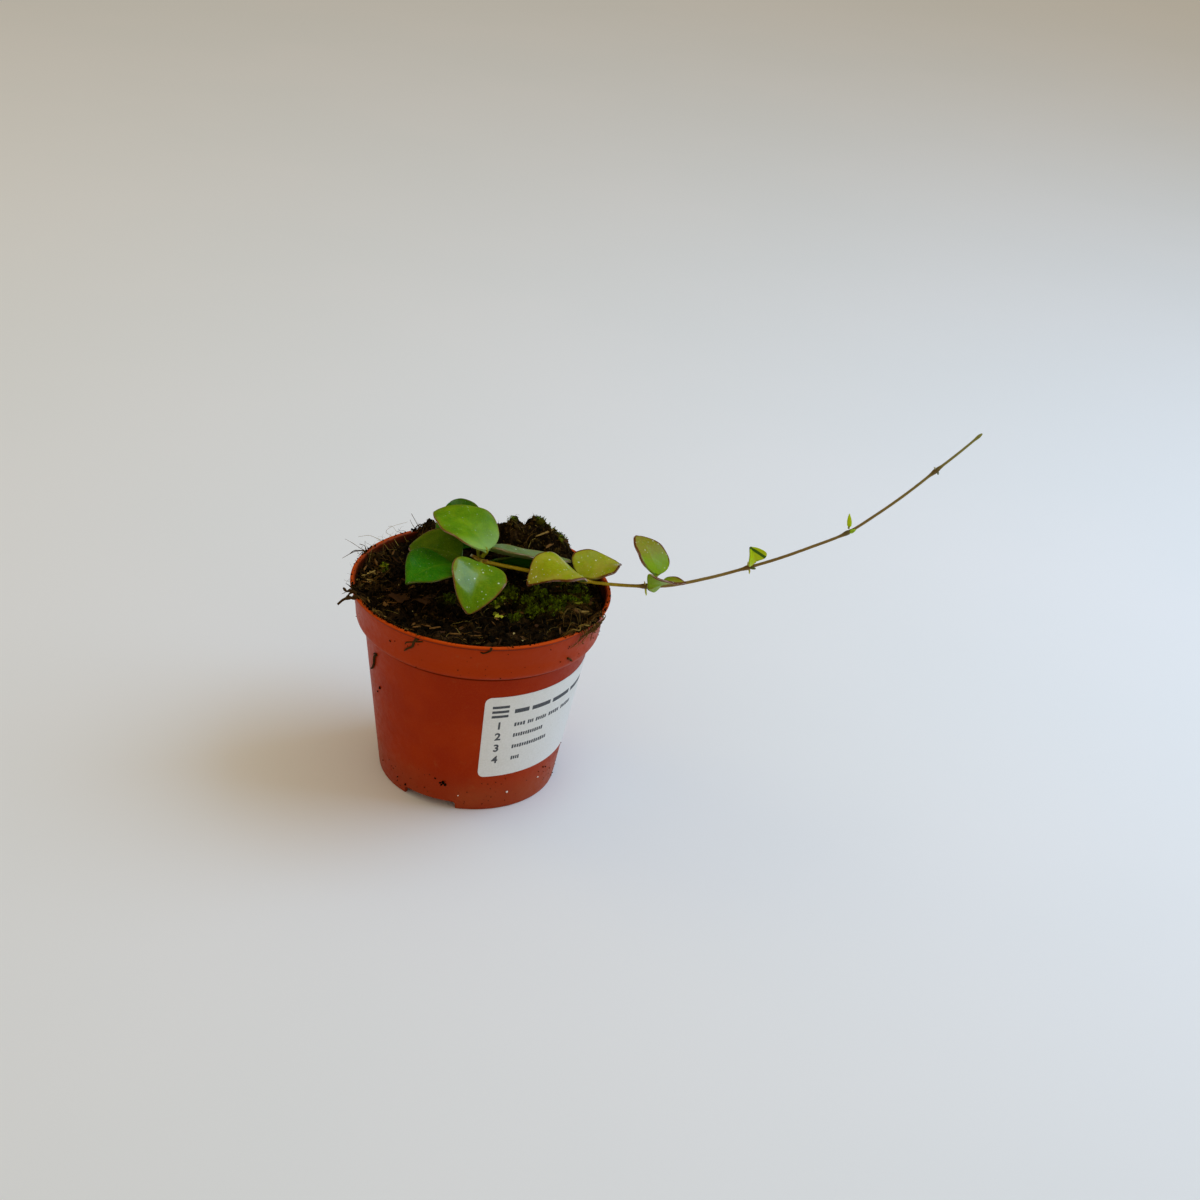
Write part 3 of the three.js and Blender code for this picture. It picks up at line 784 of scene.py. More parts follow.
def fibre(shells, start, heading, length, radius, tone, curl, droop=0.0, steps=9):
    """A thin fibre that wanders from its start; its first part lies in what carries it."""
    path = [np.array(start, float)]
    heading = unit(np.array(heading, float))
    bend = rng.normal(size=3) * curl
    for _ in range(steps):
        path.append(path[-1] + heading * length / steps)
        bend = bend + rng.normal(size=3) * curl * 0.4
        heading = unit(heading + bend / steps * 1.3 + np.array([0, 0, -droop / steps]))
    shells.add(*tube(path, radius * np.linspace(1, 0.45, len(path)), sides=4), tone=tone)


def ground_fibre(shells, x, y, azimuth, length, radius, tone, arch=0.5):
    """A fibre that lies on the peat, with both its ends sunk into it."""
    count = 9
    t = np.linspace(0, 1, count)
    sway = 0.09 * length * np.sin(np.pi * t) * rng.normal()
    dx, dy = math.cos(azimuth), math.sin(azimuth)
    px = x + dx * length * (t - 0.5) - dy * sway
    py = y + dy * length * (t - 0.5) + dx * sway
    squeeze = np.minimum(1, (PEAT_EDGE - 0.4) / np.maximum(np.hypot(px, py), 1e-6))
    px, py = px * squeeze, py * squeeze
    pz = peat_height(px, py)
    smoothed = np.convolve(np.pad(pz, 2, mode="edge"), np.ones(5) / 5, mode="valid")
    lift = 0.2 + arch * np.sin(np.pi * t) * rng.random()
    lift[0] = lift[-1] = -0.5
    path = np.column_stack([px, py, smoothed + lift])
    shells.add(*tube(path, radius * (1 - 0.3 * t), sides=4), tone=tone)


def make_fibres():
    """Fibres that lie on the peat or stand out of it, with two thick beds at the sides."""
    shells = Shells()
    for _ in range(LYING_FIBRES):
        x, y = place_in_pot(PEAT_EDGE - 1)
        length = 2.5 + 8.0 * rng.random() ** 2
        radius = 0.05 + 0.09 * rng.random() ** 2
        ground_fibre(shells, x, y, rng.random() * math.pi, length, radius, rng.random() ** 2.2)
    for _ in range(STANDING_FIBRES):
        x, y = place_in_pot(PEAT_EDGE - 1)
        heading = (rng.normal(), rng.normal(), 0.5 + 0.6 * rng.random())
        fibre(shells, (x, y, peat_at(x, y) - 0.5), heading, 1.6 + 2.6 * rng.random(),
              0.05 + 0.04 * rng.random(), rng.random() ** 1.8, curl=0.9, droop=0.6)
    beds = (((33.5, -12.0), (4.0, 8.0), 150), ((-36.5, 3.0), (2.6, 8.0), 60))
    for middle, spread, count in beds:
        for _ in range(count):
            x, y = np.array(middle) + rng.normal(size=2) * spread
            ground_fibre(shells, x, y, rng.random() * math.pi, 2.5 + 5.0 * rng.random(),
                         0.05 + 0.1 * rng.random() ** 2, 0.25 + 0.6 * rng.random(), 1.3)
    shells.build("peat_fibres", fibre_material())


def chip(shells, x, y, length, width, azimuth, tone, thickness=0.35, lean=0.12, lift=0.25):
    """A splinter of straw, bark or wood that lies on the peat."""
    rows, columns = 7, 4
    t = np.linspace(-0.5, 0.5, rows)[:, None]
    q = np.linspace(-0.5, 0.5, columns)[None, :]
    ragged = 1 + 0.16 * rng.normal(size=(rows, 1))
    if length > 3 * width:
        ragged = ragged * (1 - 2.6 * t ** 2)
    a = t * length + 0.05 * length * rng.normal(size=(rows, columns)) * (np.abs(t) > 0.45)
    b = q * width * ragged + 0.08 * width * math.sin(azimuth * 9) * t
    angle = math.radians(azimuth)
    px = x + a * math.cos(angle) - b * math.sin(angle)
    py = y + a * math.sin(angle) + b * math.cos(angle)
    level = peat_at(x, y) + lift
    pz = (level + a * rng.normal() * lean + b * rng.normal() * lean * 2
          + 0.07 * rng.normal(size=a.shape))
    half = thickness / 2 * (1 - 0.5 * np.abs(2 * q) ** 3)
    low, top = (np.stack([px, py, pz + up], axis=-1) for up in (-half, half))
    shells.add(*sheet(low, top), tone=tone)


def chip_material():
    paint = Paint("peat_chips", (64, 38, 16), 0.8, specular=0.08)
    streaks = paint.noise(1.4, 4, rough=0.7, warp=0.6)
    paint.ramp(paint.read("tone"), (0.0, 0.5, (122, 84, 36)), (0.5, 0.75, (186, 154, 78)),
               (0.86, 0.9, (136, 136, 18)), (0.97, 1.0, (204, 202, 52)))
    paint.over(paint.spread(streaks, 0.4, 0.7, 0, 0.6), (66, 44, 24))
    paint.bump(streaks, 0.2)
    return paint.finish()


# Chips that stand out: place, length, width, turn in degrees and tone
CHIPS = [
    (7.0, -21.7, 2.8, 1.7, 150, 1.0), (5.4, -19.4, 1.8, 1.2, 70, 0.95),
    (6.2, -15.2, 2.0, 1.2, 60, 0.9), (16.6, -18.7, 1.8, 1.2, 20, 0.9),
    (33.8, -6.5, 2.8, 1.7, 30, 0.92), (-34.0, 9.0, 3.0, 2.2, 60, 0.9),
    (38.0, -3.0, 2.2, 1.4, 60, 0.5), (-39.8, 0.2, 6.5, 1.1, 2, 0.8),
    (-37.0, -1.2, 6.5, 0.9, 168, 0.74), (-38.9, 3.5, 5.0, 0.7, 40, 0.76),
    (-36.5, 4.5, 6.0, 0.7, 150, 0.66), (-31.8, 19.0, 6.5, 0.7, 84, 0.3),
    (-37.0, 12.0, 5.0, 0.7, 105, 0.4), (-39.5, -4.0, 5.0, 0.6, 150, 0.5),
    (-40.2, 5.0, 4.0, 0.5, 80, 0.5), (-25.5, -12.0, 8.5, 5.0, 12, 0.1),
    (-20.0, -13.2, 7.5, 4.2, 150, 0.14), (-17.2, -11.2, 5.0, 2.6, 60, 0.1),
    (-28.0, -15.5, 6.5, 2.4, 130, 0.08), (-30.5, -17.5, 6.0, 0.6, 8, 0.4),
    (-7.0, -34.4, 4.6, 0.7, 5, 0.52), (-0.5, -35.5, 4.0, 0.5, 12, 0.5),
    (7.6, -34.6, 2.5, 0.6, 165, 0.5), (-14.0, -32.4, 4.0, 0.8, 20, 0.5),
    (-17.0, -31.0, 3.4, 0.6, 160, 0.44), (-20.5, -29.0, 3.0, 0.7, 40, 0.4),
    (34.5, -13.7, 5.0, 0.9, 8, 0.64), (32.5, -1.5, 8.0, 0.5, 128, 0.34),
    (36.0, -6.0, 7.0, 0.5, 130, 0.36), (36.0, -11.0, 6.0, 0.5, 60, 0.4),
    (23.0, 20.0, 6.0, 1.2, 62, 0.4), (17.5, 18.5, 7.0, 0.6, 95, 0.34),
    (9.0, 18.0, 4.0, 0.8, 20, 0.3), (-33.0, -25.5, 3.6, 0.6, 128, 0.72),
    (-30.5, -28.0, 3.0, 0.5, 136, 0.7), (-24.0, -33.0, 3.0, 0.7, 158, 0.66),
    (-20.0, -34.0, 2.4, 0.6, 20, 0.5), (-37.0, -18.0, 3.0, 0.5, 110, 0.6),
    (21.0, 23.0, 7.5, 0.8, 40, 0.62),
]


def make_chips():
    """The chips that stand out, then long and short ones all over."""
    shells = Shells()
    for x, y, length, width, azimuth, tone in CHIPS:
        chip(shells, x, y, length, width, azimuth, tone, 0.4, 0.08, 0.75)
    for _ in range(SMALL_CHIPS):
        x, y = place_in_pot(PEAT_EDGE - 2.5)
        long = rng.random() < 0.6
        length = 1.5 + 3.5 * rng.random() if long else 1.0 + 1.6 * rng.random()
        width = 0.25 + 0.4 * rng.random() if long else 0.7 + 1.0 * rng.random()
        tone = 0.55 * rng.random() ** 1.8
        chip(shells, x, y, length, width, rng.random() * 180, tone, 0.22, 0.2)
    shells.build("peat_chips", chip_material(), sharp=35)


def moss_material():
    paint = Paint("moss", (50, 56, 3), 0.7, specular=0.1)
    paint.ramp(paint.read("tone"), (0.0, 0.6, (126, 150, 4)), (0.6, 1.0, (190, 212, 24)))
    paint.over(paint.spread(paint.noise(1.2, 3), 0.45, 0.75, 0, 0.4), (60, 66, 14))
    return paint.finish()


MOSS_LEAVES = 11
LEAF_TURN = 2.4             # radians between one moss leaf and the next


def moss_leaf(shells, root, heading, length, tone):
    """A tiny pointed leaf: a closed lozenge with its root in the shoot."""
    heading = unit(heading)
    side = unit(np.cross(heading, (0.3, 0.2, 1.0)))
    face = np.cross(heading, side)
    middle = root + heading * length * 0.45
    points = np.array([
        root, middle + side * 0.22 * length, middle - side * 0.22 * length,
        middle + face * 0.07 * length, middle - face * 0.07 * length, root + heading * length,
    ])
    ring = (1, 4, 2, 3)
    faces = [turn for a, b in zip(ring, ring[1:] + ring[:1]) for turn in ((0, a, b), (5, b, a))]
    shells.add(points, [np.array(faces)], tone=tone)


def make_moss():
    """Moss shoots in patches: each a short thread set round with pointed leaves."""
    shells = Shells()
    for cx, cy, size, light in MOSS:
        for _ in range(int(6.2 * size ** 1.5)):
            x, y = cx + rng.normal() * size * 0.4, cy + rng.normal() * size * 0.4
            if math.hypot(x, y) > PEAT_EDGE - 1:
                continue
            root = np.array([x, y, peat_at(x, y) - 0.3])
            tilt = unit(np.array([rng.normal() * 0.45, rng.normal() * 0.45, 1.0]))
            height = 0.9 + 1.3 * rng.random()
            tone = light * (0.1 + 1.1 * rng.random() ** 1.3)
            path = np.array([root + tilt * height * k for k in (0, 0.5, 1)])
            shells.add(*tube(path, (0.09, 0.07, 0.04), sides=4), tone=tone * 0.6)
            for k in range(MOSS_LEAVES):
                at = root + tilt * height * (0.3 + 0.7 * k / (MOSS_LEAVES - 1))
                turn = k * LEAF_TURN + rng.random()
                out = np.array([math.cos(turn), math.sin(turn), 0.55 + 0.08 * k])
                moss_leaf(shells, at, out, 0.55 + 0.45 * rng.random(),
                          0.7 * tone + 0.3 * rng.random() ** 2)
    shells.build("moss_shoots", moss_material(), sharp=20)


# Where a fibre leaves the peat, and where it lies on the lip
ROOT_RADIUS = 40.6
LIP_RADIUS = 44.4
# Loose fibres over the rim: middle azimuth, spread, how many, reach, thickness, highest tone
FANS = [
    (-148, 5, 9, 4.0, 0.12, 0.4), (-128, 12, 8, 5.5, 0.07, 0.95), (-112, 5, 10, 5.0, 0.11, 0.6),
    (-88, 8, 7, 3.5, 0.07, 0.9), (-72, 4, 10, 3.6, 0.22, 0.3), (-50, 12, 9, 2.6, 0.09, 0.9),
    (-27, 7, 8, 3.2, 0.12, 0.7), (8, 10, 4, 2.4, 0.1, 0.6), (46, 8, 5, 2.6, 0.09, 0.7),
    (58, 7, 12, 3.4, 0.11, 0.9), (80, 6, 4, 2.6, 0.08, 0.9), (125, 25, 9, 3.2, 0.08, 0.7),
    (172, 20, 7, 3.2, 0.08, 0.7),
]
# Single strands over the rim: azimuth, thickness, tone, and steps right and up from the lip
STRANDS = [
    (-148, 0.13, 0.5, [(-1.2, 2.0), (-2.6, 4.4), (-3.4, 5.9)]),
    (-146, 0.14, 0.4, [(-1.5, 1.8), (-2.4, 3.8)]),
    (-147, 0.26, 0.05, [(1.4, 1.6), (3.2, 1.2), (4.6, -0.2)]),
    (-149, 0.2, 0.1, [(-1.4, 1.0), (-2.2, 0.2)]),
    (-145, 0.2, 0.08, [(1.8, 2.2), (3.4, 2.6), (4.2, 1.6)]),
    (-132, 0.07, 0.95, [(-2.2, 1.4), (-0.6, 3.6), (5.2, 6.0)]),
    (-125, 0.08, 0.85, [(-2.0, 1.0), (-4.5, 1.6), (-8.2, 0.9)]),
    (-138, 0.07, 0.8, [(-2.0, 0.8), (-3.4, 2.2), (-5.0, 2.4)]),
    (-112, 0.1, 0.6, [(-2.0, 0.9), (-4.5, 2.8), (-7.4, 3.7)]),
    (-111, 0.26, 0.08, [(-1.6, 0.3), (-3.8, -0.4), (-5.2, -1.2)]),
    (-111, 0.12, 0.3, [(-3.0, -0.2), (-5.4, -1.8), (-7.6, -3.0)]),
    (-113, 0.16, 0.15, [(-0.8, 1.6), (-2.6, 2.2)]),
    (-112, 0.09, 0.6, [(-0.2, 1.6), (-0.4, 3.8)]),
    (-80, 0.08, 0.8, [(-1.4, 0.4), (-2.6, 1.2)]),
    (-70, 0.42, 0.06, [(-1.5, 0.7), (-3.0, 0.3), (-4.2, 0.8)]),
    (-72, 0.26, 0.05, [(-1.6, 1.6), (-2.9, 2.6)]),
    (-67, 0.42, 0.06, [(-1.6, -0.6), (-4.4, -1.6), (-6.4, -3.2)]),
    (-66, 0.42, 0.06, [(-1.2, -0.8), (-3.0, 0.2)]),
    (-68, 0.34, 0.05, [(-1.0, 1.0), (-2.2, 0.4), (-3.4, -1.2)]),
    (-70, 0.14, 0.3, [(-2.4, 0.4), (-4.6, -0.8)]),
    (-74, 0.12, 0.1, [(-1.2, 2.4), (-1.0, 3.4)]),
    (-58, 0.1, 0.7, [(-1.0, 0.4), (-0.6, 1.4)]),
]


def over_lip(azimuth, radius, aside=0.0):
    """The first two places of a fibre: sunk in the peat, then on the lip."""
    return [in_peat(ROOT_RADIUS, azimuth + aside),
            on_circle(LIP_RADIUS, azimuth, POT_HEIGHT + radius * 0.8)]


def rim_fibre(shells, azimuth, reach, radius, tone, rise):
    """A fibre from the edge of the peat over the lip."""
    out = on_circle(1, azimuth, 0)
    path = over_lip(azimuth, radius, 6 * rng.normal())
    side = np.array([-out[1], out[0], 0]) * rng.normal()
    path[1] = path[1] + side * 0.8 + (0, 0, 0.6 * rise * rng.random())
    heading = unit(out * 0.6 + side * 0.8 + (0, 0, rise * (0.2 + rng.random())))
    for _ in range(4):
        heading = unit(heading + rng.normal(size=3) * 0.6 + (0, 0, -0.15))
        path.append(path[-1] + heading * reach * (0.16 + 0.1 * rng.random()))
    shells.add(*tube(curve(path, 14), radius * np.linspace(1, 0.4, 14), sides=5), tone=tone)


def hanging_root(shells, azimuth):
    """A root that comes over the lip and curls down the collar."""
    radius = 0.09 + 0.18 * rng.random() ** 1.5
    turn, drop = rng.normal() * 4, 1.0 + 5.0 * rng.random() ** 1.8
    path = over_lip(azimuth, radius)
    path.append(on_circle(45.3 + radius + 0.5 * rng.random(), azimuth + 0.3 * turn, 72.0))
    for k in (0.35, 0.7, 1.0):
        path.append(on_wall(70.6 - k * drop, azimuth + k * turn + rng.normal() * 1.8,
                            radius + 1.2 * rng.random() ** 2))
    shells.add(*tube(curve(path, 18), radius * np.linspace(1, 0.4, 18), sides=5),
               tone=0.35 + 0.55 * rng.random())


def looping_root(shells, azimuth):
    """A root that leaves the peat, runs along the lip and goes back in."""
    radius = 0.09 + 0.2 * rng.random() ** 1.5
    step = (1.2 + 1.4 * rng.random()) * rng.choice((-1, 1))
    path = [in_peat(ROOT_RADIUS, azimuth)]
    for inner, wide, turns, high in ((42.6, 1.4, 1, 1.2), (43.6, 1.6, 2.2, 1), (43.0, 1.4, 3.4, 1)):
        path.append(on_circle(inner + wide * rng.random(), azimuth + turns * step,
                              POT_HEIGHT + radius + high * rng.random()))
    path = curve(path + [in_peat(40.4, azimuth + 4.4 * step)], 20)
    shells.add(*tube(path, radius, sides=5), tone=0.3 + 0.58 * rng.random())


def make_rim_fibres():
    """Fibres and roots that stick out over the rim, and tufts on the two heaps."""
    shells = Shells()
    for count, root, first, arc in ((26, hanging_root, 48, 24), (26, looping_root, 46, 20),
                                    (4, looping_root, -66, 34)):
        for _ in range(count):
            root(shells, first + arc * rng.random())
    for middle, spread, count, reach, radius, brightest in FANS:
        for _ in range(count):
            rim_fibre(shells, middle + rng.normal() * spread * 0.6,
                      reach * (0.35 + 0.65 * rng.random()), radius * (0.6 + 0.7 * rng.random()),
                      brightest * rng.random() ** 0.7, 0.3 + 0.8 * rng.random())
    for azimuth, radius, tone, steps in STRANDS:
        path = over_lip(azimuth, radius)
        lip = path[-1]
        path += [lip + (right, 0.12 * right * rng.normal(), up) for right, up in steps]
        path = curve(path, 22)
        swing = 1 + 0.45 * noise(path * 1.1, 14)
        end = 0.8 if radius > 0.3 else 0.45
        shells.add(*tube(path, 1.2 * radius * swing * np.linspace(1, end, 22), sides=7),
                   tone=0.3 + 0.7 * tone)
    for shape, count, reach in ((HEAP, 100, 2.6), (HUMP, 40, 2.8)):
        for _ in range(count):
            x = shape["x"] + rng.normal() * shape["width"] * 0.5
            y = shape["y"] + rng.normal() * shape["depth"] * 0.4
            if math.hypot(x, y) > PEAT_EDGE - 1:
                continue
            heading = (rng.normal() * 0.7, rng.normal() * 0.7, 1)
            fibre(shells, (x, y, peat_at(x, y) - 0.5), heading, reach * (0.3 + 0.8 * rng.random()),
                  0.06 + 0.07 * rng.random(), rng.random() ** 1.6, curl=1.1, steps=8)
    shells.build("rim_fibres", fibre_material())


def on_wall(z, azimuth, off):
    """A place on the outside of the pot."""
    return on_circle(wall_radius(z) + off, azimuth, z)


# Rootlets on the pot: their stations as height and azimuth, then thickness and tone
ROOTLETS = [
    ([(52.4, -59.0), (50.8, -61.4), (47.4, -63.2), (44.5, -66.4), (43.0, -69.4)], 0.5, 0.32),
    ([(52.6, -58.6), (52.2, -61.0), (51.4, -62.6)], 0.36, 0.32),
    ([(71.6, -25.0), (70.0, -27.0), (67.4, -28.2), (65.8, -30.8), (64.4, -32.6)], 0.5, 0.36),
    ([(70.8, -23.0), (69.4, -27.6), (67.9, -31.6), (67.2, -32.0)], 0.3, 0.36),
    ([(72.7, 6.4), (71.8, 6.2), (70.8, 5.0), (70.2, 3.2), (70.6, 2.2)], 0.42, 0.3),
    ([(62.6, 46.0), (61.6, 48.0), (60.6, 49.4)], 0.46, 0.45),
    ([(71.2, 61.0), (70.5, 57.0), (69.8, 53.5), (70.2, 51.0)], 0.36, 0.5),
    ([(71.0, 66.0), (69.6, 63.0), (69.0, 60.0)], 0.28, 0.5),
    ([(70.6, 60.0), (69.0, 62.0), (68.6, 65.0), (69.2, 68.0)], 0.26, 0.55),
    ([(69.8, 64.0), (67.4, 64.6), (66.2, 67.0)], 0.24, 0.5),
]
# Single grains on the pot and its lip: height, azimuth, size and tone
GRAINS = [
    (10.9, -13.0, 0.8, 0.05), (10.2, -11.6, 0.6, 0.1), (10.6, -14.8, 0.45, 0.2),
    (12.0, -18.0, 0.4, 0.3), (9.8, -14.0, 0.5, 0.05), (7.0, 27.2, 0.5, 1.3), (8.8, 50.7, 0.42, 1.3),
    (6.1, -3.4, 0.34, 1.3), (12.4, 54.0, 0.4, 0.2), (11.6, 57.0, 0.35, 0.3),
    (39.0, -59.0, 0.6, 0.3), (36.2, -62.5, 0.35, 0.3), (72.8, -146.0, 0.55, 1.3),
    (72.8, -143.0, 0.35, 1.3), (65.4, -41.0, 0.4, 0.4), (66.4, -38.0, 0.3, 0.3),
    (4.0, -40.0, 0.5, 0.2), (5.2, -47.0, 0.4, 0.3),
]
# Drifts of grains on the lip: middle azimuth, spread, how many and size
DRIFTS = [
    (-148, 4, 20, 0.8), (-112, 4, 12, 0.6), (-72, 5, 26, 0.7), (58, 6, 80, 0.8), (76, 4, 12, 0.4),
    (-50, 16, 110, 0.4),
]
ON_LIP = 72.7


def make_pot_debris():
    """Rootlets, grains and dried specks that cling to the outside of the pot."""
    shells = Shells()
    for stations, radius, tone in ROOTLETS:
        path = curve([on_wall(z, a, radius * 0.7) for z, a in stations], 16)
        swing = 1 + 0.25 * noise(path * 0.9, 11)
        shells.add(*tube(path, radius * swing * np.linspace(1, 0.6, 16), sides=8), tone=tone)
    shells.build("pot_rootlets", fibre_material())
    grains = Shells()
    ball, faces = finer(ICOSAHEDRON, ICO_FACES)
    loose = []
    for count, low, high, power, azimuth, arc, size in ((60, 2, 12, 1.5, -75, 160, 0.16),
                                                        (45, 59, 11, 1, -80, 165, 0.18)):
        loose += [(low + high * rng.random() ** power, azimuth + arc * rng.random(),
                   0.1 + size * rng.random(), 0.8 * rng.random()) for _ in range(count)]
    loose += [(ON_LIP, 360 * rng.random(), 0.12 + 0.25 * rng.random() ** 2, 0.8 * rng.random())
              for _ in range(130)]
    for middle, spread, count, size in DRIFTS:
        loose += [(ON_LIP + 0.4 * rng.random(), middle + spread * rng.normal(),
                   size * (0.3 + 0.7 * rng.random()), 0.8 * rng.random()) for _ in range(count)]
    for z, azimuth, size, tone in GRAINS + loose:
        shape = ball * (1 + 0.3 * noise(ball * 1.7 + 9 * azimuth, 9))[:, None]
        shape = turned(shape * size * (1, 0.8, 0.6))
        lip = 43.6 + 1.1 * rng.random()
        place = on_wall(z, azimuth, 0.25 * size) if z < 72 else on_circle(lip, azimuth, z)
        grains.add(shape + place, [faces], tone=tone, moss=0.0)
    grains.build("pot_grains", crumb_material(), sharp=180)


# Stem
CROWN = (-1.0, -4.5, 83.3)
STUB = (-4.3, -4.2, 85.2)
NODES = {
    "two": (34.6, -3.5, 78.6),
    "three": (56.3, -3.0, 78.2),
    "four": (91.4, 5.0, 84.6),
    "five": (124.4, 10.0, 98.6),
    "six": (151.8, 14.0, 123.0),
    "tip": (165.7, 16.2, 137.3),
}
RUNNER = [
    CROWN, (7.6, -4.3, 82.1), (19.7, -3.9, 80.4), NODES["two"], (40.5, -3.4, 78.1),
    (47.4, -3.2, 77.9), NODES["three"], (64.7, -1.1, 78.3), (78.4, 2.0, 81.0), NODES["four"],
    (102.2, 6.6, 88.5), (112.2, 8.1, 92.8), NODES["five"], (133.2, 11.2, 105.5),
    (142.6, 12.6, 113.8), NODES["six"], (158.4, 15.0, 129.6), NODES["tip"],
]


def stem_material():
    paint = Paint("living_stem", (60, 44, 16), 0.5, coat=0.15, coat_roughness=0.4)
    grain = paint.noise(1.8, 4)
    paint.colour = paint.read("tint", "Color")
    paint.over(paint.spread(grain, 0.35, 0.7, 0, 0.35), (60, 44, 16))
    paint.bump(grain, 0.06)
    paint.surface.inputs["Specular Tint"].default_value = (1.0, 0.9, 0.45, 1.0)
    return paint.finish()


def tints(stops, at):
    """Colours blended between stops, each a place and a screen colour, as rows."""
    places = [s[0] for s in stops]
    colours = np.array([srgb(*s[1])[:3] for s in stops])
    return np.column_stack([np.interp(at, places, colours[:, i]) for i in range(3)])


def swell(path, radii, at, length, extra):
    """Adds a node's swelling to the radii near a point of the path."""
    far = np.linalg.norm(path - np.array(at), axis=1)
    return radii + extra * np.exp(-(far / length) ** 2)


def add_stem(shells, path, radii, colours, sides=14):
    """A stretch of stem with a slightly uneven skin and a colour at each place."""
    turns = np.tile(np.arange(sides)[:, None] * (1.7, 0.3, 0.9), (len(path), 1))
    wobble = 1 + 0.05 * noise(np.repeat(path, sides, axis=0) * 1.1 + turns)
    points, faces = tube(path, radii, sides, wobble.reshape(len(path), sides))
    rows = np.repeat(colours, sides, axis=0)
    shells.add(points, faces, tint=np.vstack([rows, colours[:1], colours[-1:]]))


def make_stem():
    """The runner, the upright cutting that carries it, and what grows on their nodes."""
    shells = Shells()
    brown, dark = (104, 76, 34), (78, 50, 22)
    path = curve(RUNNER, 420)
    along = run(path)
    radii = np.interp(along, (0, 30, 60, 95, 130, 170, 190),
                      (0.68, 0.62, 0.58, 0.54, 0.5, 0.46, 0.4))
    for name, length, extra in (("two", 1.6, 0.3), ("three", 1.9, 0.4), ("four", 1.7, 0.34),
                                ("five", 1.6, 0.36), ("six", 1.9, 0.4)):
        radii = swell(path, radii, NODES[name], length, extra)
    radii = swell(path, radii, CROWN, 2.2, 0.25)
    radii[-9:] *= (1.02, 1.1, 1.25, 1.4, 1.5, 1.45, 1.25, 0.95, 0.5)
    colours = tints([
        (0, (176, 150, 8)), (20, (200, 170, 8)), (44, (180, 152, 6)), (58, (130, 96, 20)),
        (80, (140, 110, 46)), (100, (130, 98, 40)), (135, (134, 106, 52)),
        (165, (136, 118, 56)), (180, (140, 134, 72)), (193, (134, 136, 40)),
    ], along)
    for name, colour in (("three", (84, 50, 12)), ("four", (112, 74, 30)), ("five", (92, 80, 42)),
                         ("six", (96, 66, 26))):
        near = np.exp(-(np.linalg.norm(path - np.array(NODES[name]), axis=1) / 2.0) ** 2)[:, None]
        colours = colours * (1 - 0.8 * near) + np.array(srgb(*colour)[:3]) * 0.8 * near
    add_stem(shells, path, radii, colours)
    x, y = CROWN[:2]
    wood = curve([(x + 1.5, y + 1.8, 61.4), (x + 1.5, y + 1.7, 68.4), (x + 1, y + 1, 75.4), CROWN,
                  STUB], 80)
    far = np.linspace(0, 1, len(wood))
    radii = np.interp(far, [0, 0.6, 0.78, 0.9, 1], [0.95, 0.95, 1.1, 0.66, 0.5])
    colours = tints([(0, dark), (0.5, brown), (0.7, (150, 134, 24)), (0.85, (160, 132, 20)),
                     (0.97, (150, 110, 24)), (1, (226, 220, 190))], far)
    add_stem(shells, wood, radii, colours)
    make_spurs(shells)
    shells.build("living_stem", stem_material(), "stem")


# Rootlets, buds and leaf scars: node, reach, thickness along them, first and last colour
SPURS = [
    ("three", (0.5, -0.7, -3.2), (0.38, 0.36, 0.22), (176, 186, 30), (206, 220, 60)),
    ("three", (-0.7, -0.5, 2.1), (0.32, 0.28, 0.16), (190, 180, 50), (180, 150, 60)),
    ("three", (2.6, -1.2, -1.3), (0.4, 0.5, 0.3), (96, 92, 20), (112, 120, 30)),
    ("four", (0.7, -0.6, -2.1), (0.36, 0.32, 0.2), (196, 180, 70), (216, 220, 90)),
    ("four", (-0.2, 0.3, 2.1), (0.36, 0.34, 0.22), (196, 176, 90), (214, 204, 130)),
    ("four", (2.6, -0.9, 0.2), (0.36, 0.5, 0.3), (84, 82, 26), (96, 110, 40)),
    ("five", (2.9, -0.2, 1.7), (0.4, 0.82, 0.28), (140, 180, 8), (160, 196, 14)),
    ("five", (-1.9, -0.5, -1.5), (0.38, 0.36, 0.22), (200, 150, 80), (226, 200, 110)),
    ("six", (-0.9, -0.3, 1.5), (0.34, 0.36, 0.2), (96, 100, 50), (196, 190, 160)),
    ("six", (1.0, -0.4, -1.2), (0.32, 0.4, 0.18), (80, 92, 30), (92, 110, 40)),
    ("six", (1.3, -0.2, 1.4), (0.3, 0.34, 0.16), (84, 100, 40), (70, 96, 40)),
    ("two", (1.2, -0.6, -1.4), (0.3, 0.26, 0.12), (120, 108, 20), (110, 90, 30)),
    ("crown", (-2.2, -1.0, 1.6), (0.36, 0.34, 0.22), (150, 126, 26), (196, 160, 60)),
    ("crown", (2.6, -0.9, 1.0), (0.4, 0.36, 0.26), (130, 104, 24), (180, 120, 50)),
]


def make_spurs(shells):
    """Aerial rootlets, buds and the remains of shed leaves, each rooted in the stem."""
    for name, reach, widths, first, last in SPURS:
        start, reach = np.array(CROWN if name == "crown" else NODES[name]), np.array(reach)
        middle = start + reach * 0.55 + rng.normal(size=3) * 0.12
        path = curve([start, middle, start + reach], 11)
        t = np.linspace(0, 1, 11)
        radii = np.interp(t, (0, 0.55, 1), widths)
        radii[-2:] *= (0.9, 0.5)
        add_stem(shells, path, radii, tints([(0, first), (1, last)], t), sides=9)


